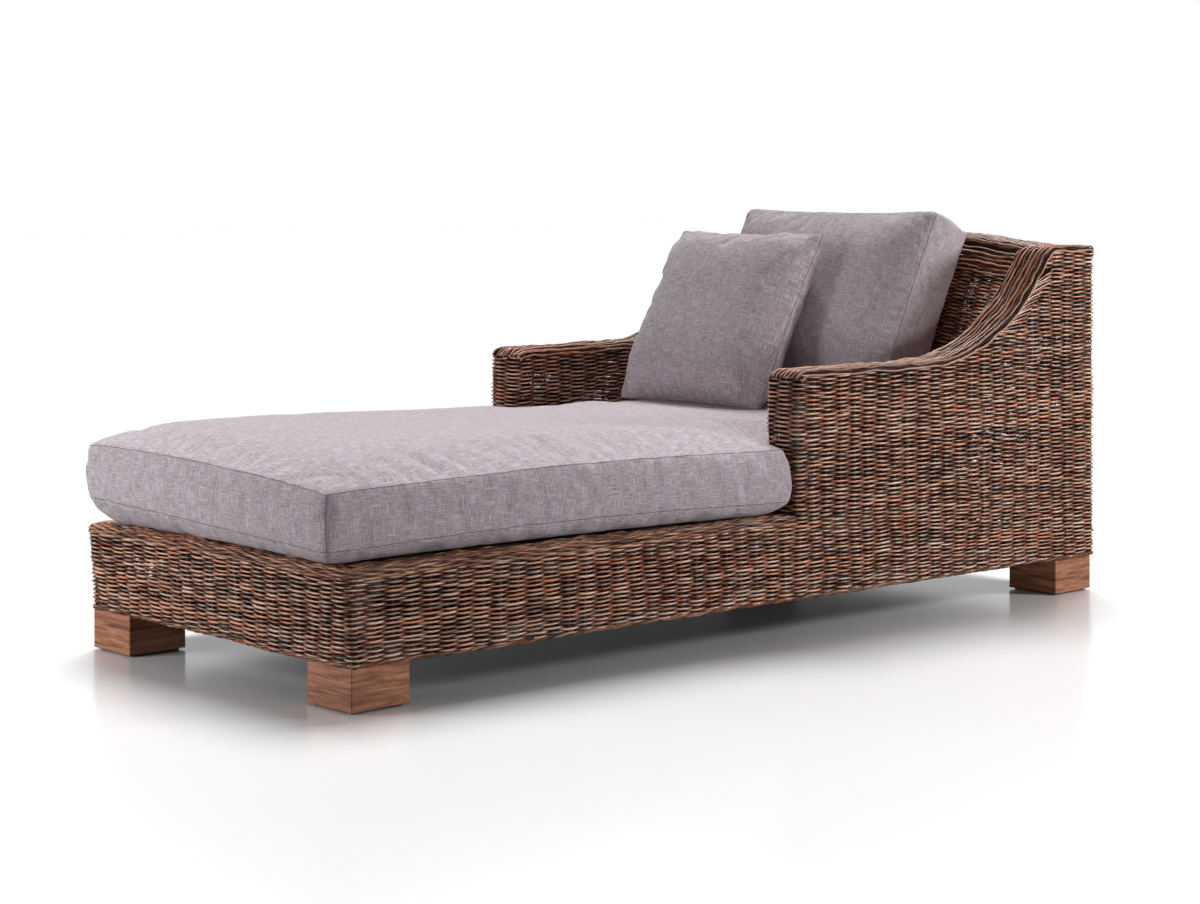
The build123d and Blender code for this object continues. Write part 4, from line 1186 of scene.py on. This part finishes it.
def make_cushion(name, body, replaced, mesh, seams, edges, panel, rests, fill, fullness, cap, pucker,
                 crisp=0.0):
    """A sewn cushion: blown up as cloth, drawn in and puckered along its seams, and smoothed.

    cap is how far the cloth may move, pucker how high the folds stand, crisp how near points go onto a seam.
    """
    mesh.name = name
    piece = bpy.data.objects.new(name, mesh)
    scene.collection.objects.link(piece)
    mesh.materials.clear()
    mesh.materials.append(linen)
    mesh.polygons.foreach_set("use_smooth", [True] * len(mesh.polygons))
    # cloth panels: thread directions by the side of the cushion a face belongs to
    cloth = mesh.uv_layers.new(name="cloth")
    for face in mesh.polygons:
        for loop in face.loop_indices:
            corner = mesh.vertices[mesh.loops[loop].vertex_index].co
            cloth.data[loop].uv = panel(corner, face.center, face.normal)
    lines = [filled_up(seam) for seam in seams]
    tree = KDTree(sum(len(line) for line in lines))
    along = []
    for line in lines:
        for k, point in enumerate(line):
            tree.insert(point, len(along))
            along.append(k * STITCH)
    tree.balance()
    nearest = [tree.find(v.co) for v in mesh.vertices]
    held = [max(rests(v.co), 1.0 if near[2] < 0.006 else 0.0) for v, near in zip(mesh.vertices, nearest)]
    blow_up(piece, held, fullness, cap)
    # the net's nearest points go onto the seams and corners, so that these stay crisp
    creases = KDTree(sum(len(line) for line in lines + edges))
    for number, point in enumerate(point for line in lines + edges for point in line):
        creases.insert(point, number)
    creases.balance()
    for vertex in mesh.vertices:
        spot, number, far = creases.find(vertex.co)
        if far < crisp and fill > 0.75:
            vertex.co = vertex.co.lerp(spot, 0.85 * min(1.0, (crisp - far) / (0.3 * crisp)))
    mesh.update()
    normals = [v.normal.copy() for v in mesh.vertices]
    for vertex, near, normal in zip(mesh.vertices, nearest, normals):
        number, far = near[1:]
        free = 1 - rests(vertex.co)
        # short folds run out from the seam and die away
        fold = noise.noise(Vector((along[number] / 0.024, far / 0.11, 3.7)))
        ripple = noise.noise(vertex.co * 9.0) * 0.6 + noise.noise(vertex.co * 23.0) * 0.25
        raised = pucker * (fold * math.exp(-far / 0.040) * min(1.0, far / 0.008) + 0.5 * ripple)
        out = raised - 0.0014 * math.exp(-(far / 0.007) ** 2)
        vertex.co += normal * out * free
    smoothing = piece.modifiers.new("smoothing", "SUBSURF")
    smoothing.levels = smoothing.render_levels = 1
    graph = bpy.context.evaluated_depsgraph_get()
    piece.data = bpy.data.meshes.new_from_object(piece.evaluated_get(graph), depsgraph=graph)
    piece.modifiers.clear()
    bpy.data.meshes.remove(mesh)
    piece.data.name = name
    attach(piece, body)
    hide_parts(*replaced)
    return piece


def sew(name, body, cushion, lines):
    """Sewing thread along the seams, laid half into the finished cushion; each line says if it is a ring."""
    surface = BVHTree.FromObject(cushion, bpy.context.evaluated_depsgraph_get())
    curve = bpy.data.curves.new(name, "CURVE")
    curve.dimensions = "3D"
    curve.bevel_depth = 0.0007
    curve.bevel_resolution = 1
    for line, ring in lines:
        spots = filled_up(line, 0.005) if ring else line
        spline = curve.splines.new("POLY")
        spline.points.add(len(spots) - 1)
        spline.use_cyclic_u = ring
        for point, spot in zip(spline.points, spots):
            on, normal, number, far = surface.find_nearest(spot)
            point.co = (*(on - normal * 0.0001), 1)
    stitched = bpy.data.objects.new(name, curve)
    scene.collection.objects.link(stitched)
    graph = bpy.context.evaluated_depsgraph_get()
    mesh = bpy.data.meshes.new_from_object(stitched.evaluated_get(graph), depsgraph=graph)
    bpy.data.objects.remove(stitched)
    bpy.data.curves.remove(curve)
    mesh.materials.clear()
    mesh.materials.append(thread)
    mesh.polygons.foreach_set("use_smooth", [True] * len(mesh.polygons))
    piece = bpy.data.objects.new(name, mesh)
    scene.collection.objects.link(piece)
    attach(piece, body)


def seat_corner_seams(rings):
    """Upright seams at the seat cushion's outer corners, from its lower to its upper seam."""
    seams = []
    for corner in (0, 1, 2, 7):
        spot = 20 * corner + 2
        seam = [rings[r][spot].lerp(rings[r + 1][spot], part / 5) for r in range(3, 8) for part in range(5)]
        seams.append(seam + [rings[8][spot]])
    return seams


def lean_parts(p):
    """A point's place up the leaning back and out of it."""
    local = p - on_back(0, 0, 0)
    up = local.y * math.sin(LEAN) + local.z * math.cos(LEAN)
    return up, -local.y * math.cos(LEAN) + local.z * math.sin(LEAN)


def seat_panel(p, middle, n):
    """Cloth coordinates of a point on the side of the seat cushion that its face belongs to."""
    level = middle.z - seat_lift(middle.x, middle.y - FOOT_Y, middle.z)
    if level > 0.377 or level < 0.2755:
        return (p.x, p.y)
    if abs(n.y) > abs(n.x):
        return (p.x + 3.0, p.z)
    return (p.y + 7.0, p.z)


def back_panel(p, middle, n):
    """Cloth coordinates of a point on the side of the back cushion that its face belongs to."""
    v, w = lean_parts(p)
    depth = lean_parts(middle)[1]
    if depth > 0.1495 or depth < 0.033:
        return (p.x + 11.0, v)
    nv = n.y * math.sin(LEAN) + n.z * math.cos(LEAN)
    if abs(nv) > abs(n.x):
        return (p.x + 13.0, w)
    return (w + 17.0, v)


def pillow_panel(p, middle, n):
    """Cloth coordinates of a point on the side of the throw pillow that its face belongs to."""
    local = p - PILLOW_MIDDLE
    v = local.y * math.sin(PILLOW_LEAN) + local.z * math.cos(PILLOW_LEAN)
    side = 21.0 if -n.y * math.cos(PILLOW_LEAN) + n.z * math.sin(PILLOW_LEAN) > 0 else 25.0
    return (p.x + side, v)


def seat_rests(p):
    """How firmly the seat cushion rests on the deck, back or arms or bears the back cushion, 0 to 1."""
    rear = p.y - FOOT_Y - PANEL_FOOT - (p.z - DECK) * math.tan(LEAN)
    under = 1.0 if p.z < DECK + 0.006 else 0.0
    beside = abs(p.x) > half_width(p.y - FOOT_Y) - ARM_WIDTH - 0.018
    at_arm = 1.0 if p.y > FOOT_Y + ARM_START - 0.02 and p.z < 0.39 and beside else 0.0
    at_back = 1.0 if rear > -0.02 else 0.0
    return max(under, at_arm, at_back, min(1.0, max(0.0, (p.y - FOOT_Y - 1.20) / 0.06)))


def back_rests(p):
    """1 where the back cushion leans on the back or stands on the seat cushion, else 0."""
    v, w = lean_parts(p)
    return 1.0 if w < 0.008 or v < 0.165 else 0.0


def pillow_rests(p):
    """1 where the pillow touches the seat or the back cushion, else 0."""
    v, w = lean_parts(p)
    return 1.0 if p.z < 0.424 or w < 0.200 and v < 0.50 and abs(p.x) < 0.28 else 0.0


rings, seam_rings = seat_rings()
seams, corners = [rings[number] for number in seam_rings], seat_corner_seams(rings)
seat = make_cushion(
    "seat_cushion_linen", "seat_cushion", ["seat_cushion_cover", "seat_cushion_filling"],
    remeshed(*skin_over(rings), 0.013), seams, corners, seat_panel, seat_rests,
    fill=0.85, fullness=0.012, cap=0.008, pucker=0.0022, crisp=0.0075)
sew("seat_cushion_seams", "seat_cushion", seat,
    [(seam, True) for seam in seams] + [(line, False) for line in corners])
rings, seam_rings = back_rings()
seams = [rings[number] for number in seam_rings]
back = make_cushion(
    "back_cushion_linen", "back_cushion", ["back_cushion_cover", "back_cushion_filling"],
    remeshed(*skin_over(rings), 0.0085), seams, [], back_panel, back_rests,
    fill=0.8, fullness=0.015, cap=0.008, pucker=0.0022, crisp=0.0050)
sew("back_cushion_seams", "back_cushion", back, [(seam, True) for seam in seams])
points, faces, edge = pillow_form()
square = bpy.data.meshes.new("square")
square.from_pydata(points, [], faces)
pillow = make_cushion(
    "throw_pillow_linen", "throw_pillow", ["throw_pillow_cover", "throw_pillow_filling"], square,
    [edge], [], pillow_panel, pillow_rests, fill=0.7, fullness=0.04, cap=0.010, pucker=0.0046)
sew("throw_pillow_seam", "throw_pillow", pillow, [(edge, True)])


# Floor, sky and lamps
def make_floor():
    """A white studio floor, 60 m across."""
    mesh = bpy.data.meshes.new("floor")
    reach = 30
    mesh.from_pydata([(-reach, -reach, 0), (reach, -reach, 0), (reach, reach, 0), (-reach, reach, 0)], [],
                     [(0, 1, 2, 3)])
    floor = bpy.data.objects.new("floor", mesh)
    scene.collection.objects.link(floor)
    finish, tree, shader = new_finish("studio_floor_white")
    place = add_node(tree, "ShaderNodeTexCoord").outputs["Object"]
    speck = add_node(tree, "ShaderNodeTexNoise", {"Vector": place, "Scale": 30.0})
    ramp = add_node(tree, "ShaderNodeValToRGB", {"Fac": speck.outputs["Fac"]},
                    stops=[(0.3, "#fefeff"), (0.7, "#ffffff")])
    # seen as white paper; bounces less light than it shows, so the object's sides keep their shade
    ray = add_node(tree, "ShaderNodeLightPath").outputs
    duller = add_node(tree, "ShaderNodeMix", {0: ray["Is Camera Ray"], 6: linear("#6a6a6c"),
                                              7: ramp.outputs["Color"]}, data_type="RGBA")
    tree.links.new(duller.outputs[2], shader.inputs["Base Color"])
    shader.inputs["Roughness"].default_value = 0.18
    shader.inputs["Specular IOR Level"].default_value = 0.32
    mesh.materials.append(finish)


def make_sky():
    """White where it is seen or mirrored, and nearly no light of its own."""
    world = bpy.data.worlds.new("studio")
    scene.world = world
    world.use_nodes = True
    tree = world.node_tree
    tree.nodes.clear()
    ray = add_node(tree, "ShaderNodeLightPath").outputs
    seen = add_node(tree, "ShaderNodeMath", {0: ray["Is Camera Ray"], 1: ray["Is Glossy Ray"]},
                    operation="MAXIMUM").outputs[0]
    seen = add_node(tree, "ShaderNodeMath", {0: seen, 1: ray["Is Transmission Ray"]},
                    operation="MAXIMUM").outputs[0]
    soft = add_node(tree, "ShaderNodeBackground", {"Color": linear("#ffffff"), "Strength": 0.04})
    white = add_node(tree, "ShaderNodeBackground", {"Color": linear("#ffffff"), "Strength": 1.0})
    mixed = add_node(tree, "ShaderNodeMixShader", {0: seen, 1: soft.outputs[0], 2: white.outputs[0]})
    add_node(tree, "ShaderNodeOutputWorld", {"Surface": mixed.outputs[0]})


def add_lamp(name, kind, place, aim, energy, **settings):
    """A lamp at a place that shines at aim and isn't seen itself."""
    data = bpy.data.lights.new(name, kind)
    data.energy = energy
    for key, value in settings.items():
        setattr(data, key, value)
    lamp = bpy.data.objects.new(name, data)
    lamp.location = place
    lamp.visible_camera = False
    lamp.rotation_euler = (Vector(aim) - Vector(place)).to_track_quat("-Z", "Y").to_euler()
    scene.collection.objects.link(lamp)


make_floor()
make_sky()
add_lamp("key_left", "SUN", (-1.1, 1.2, 3.1), (0, 0, 0), 3.1, angle=math.radians(32))
add_lamp("overhead", "SUN", (0, 0.3, 3), (0, 0, 0), 0.15, angle=math.radians(100))
add_lamp("foot_left", "AREA", (-0.75, -2.4, 0.6), (0, -0.95, 0.3), 19, size=0.9)
add_lamp("right_rear", "AREA", (2.2, 2.0, 1.1), (0.4, 0.5, 0.4), 31, size=0.5)
add_lamp("right_low", "AREA", (3.0, -0.3, 0.4), (0.4, -0.3, 0.3), 16, size=0.6)
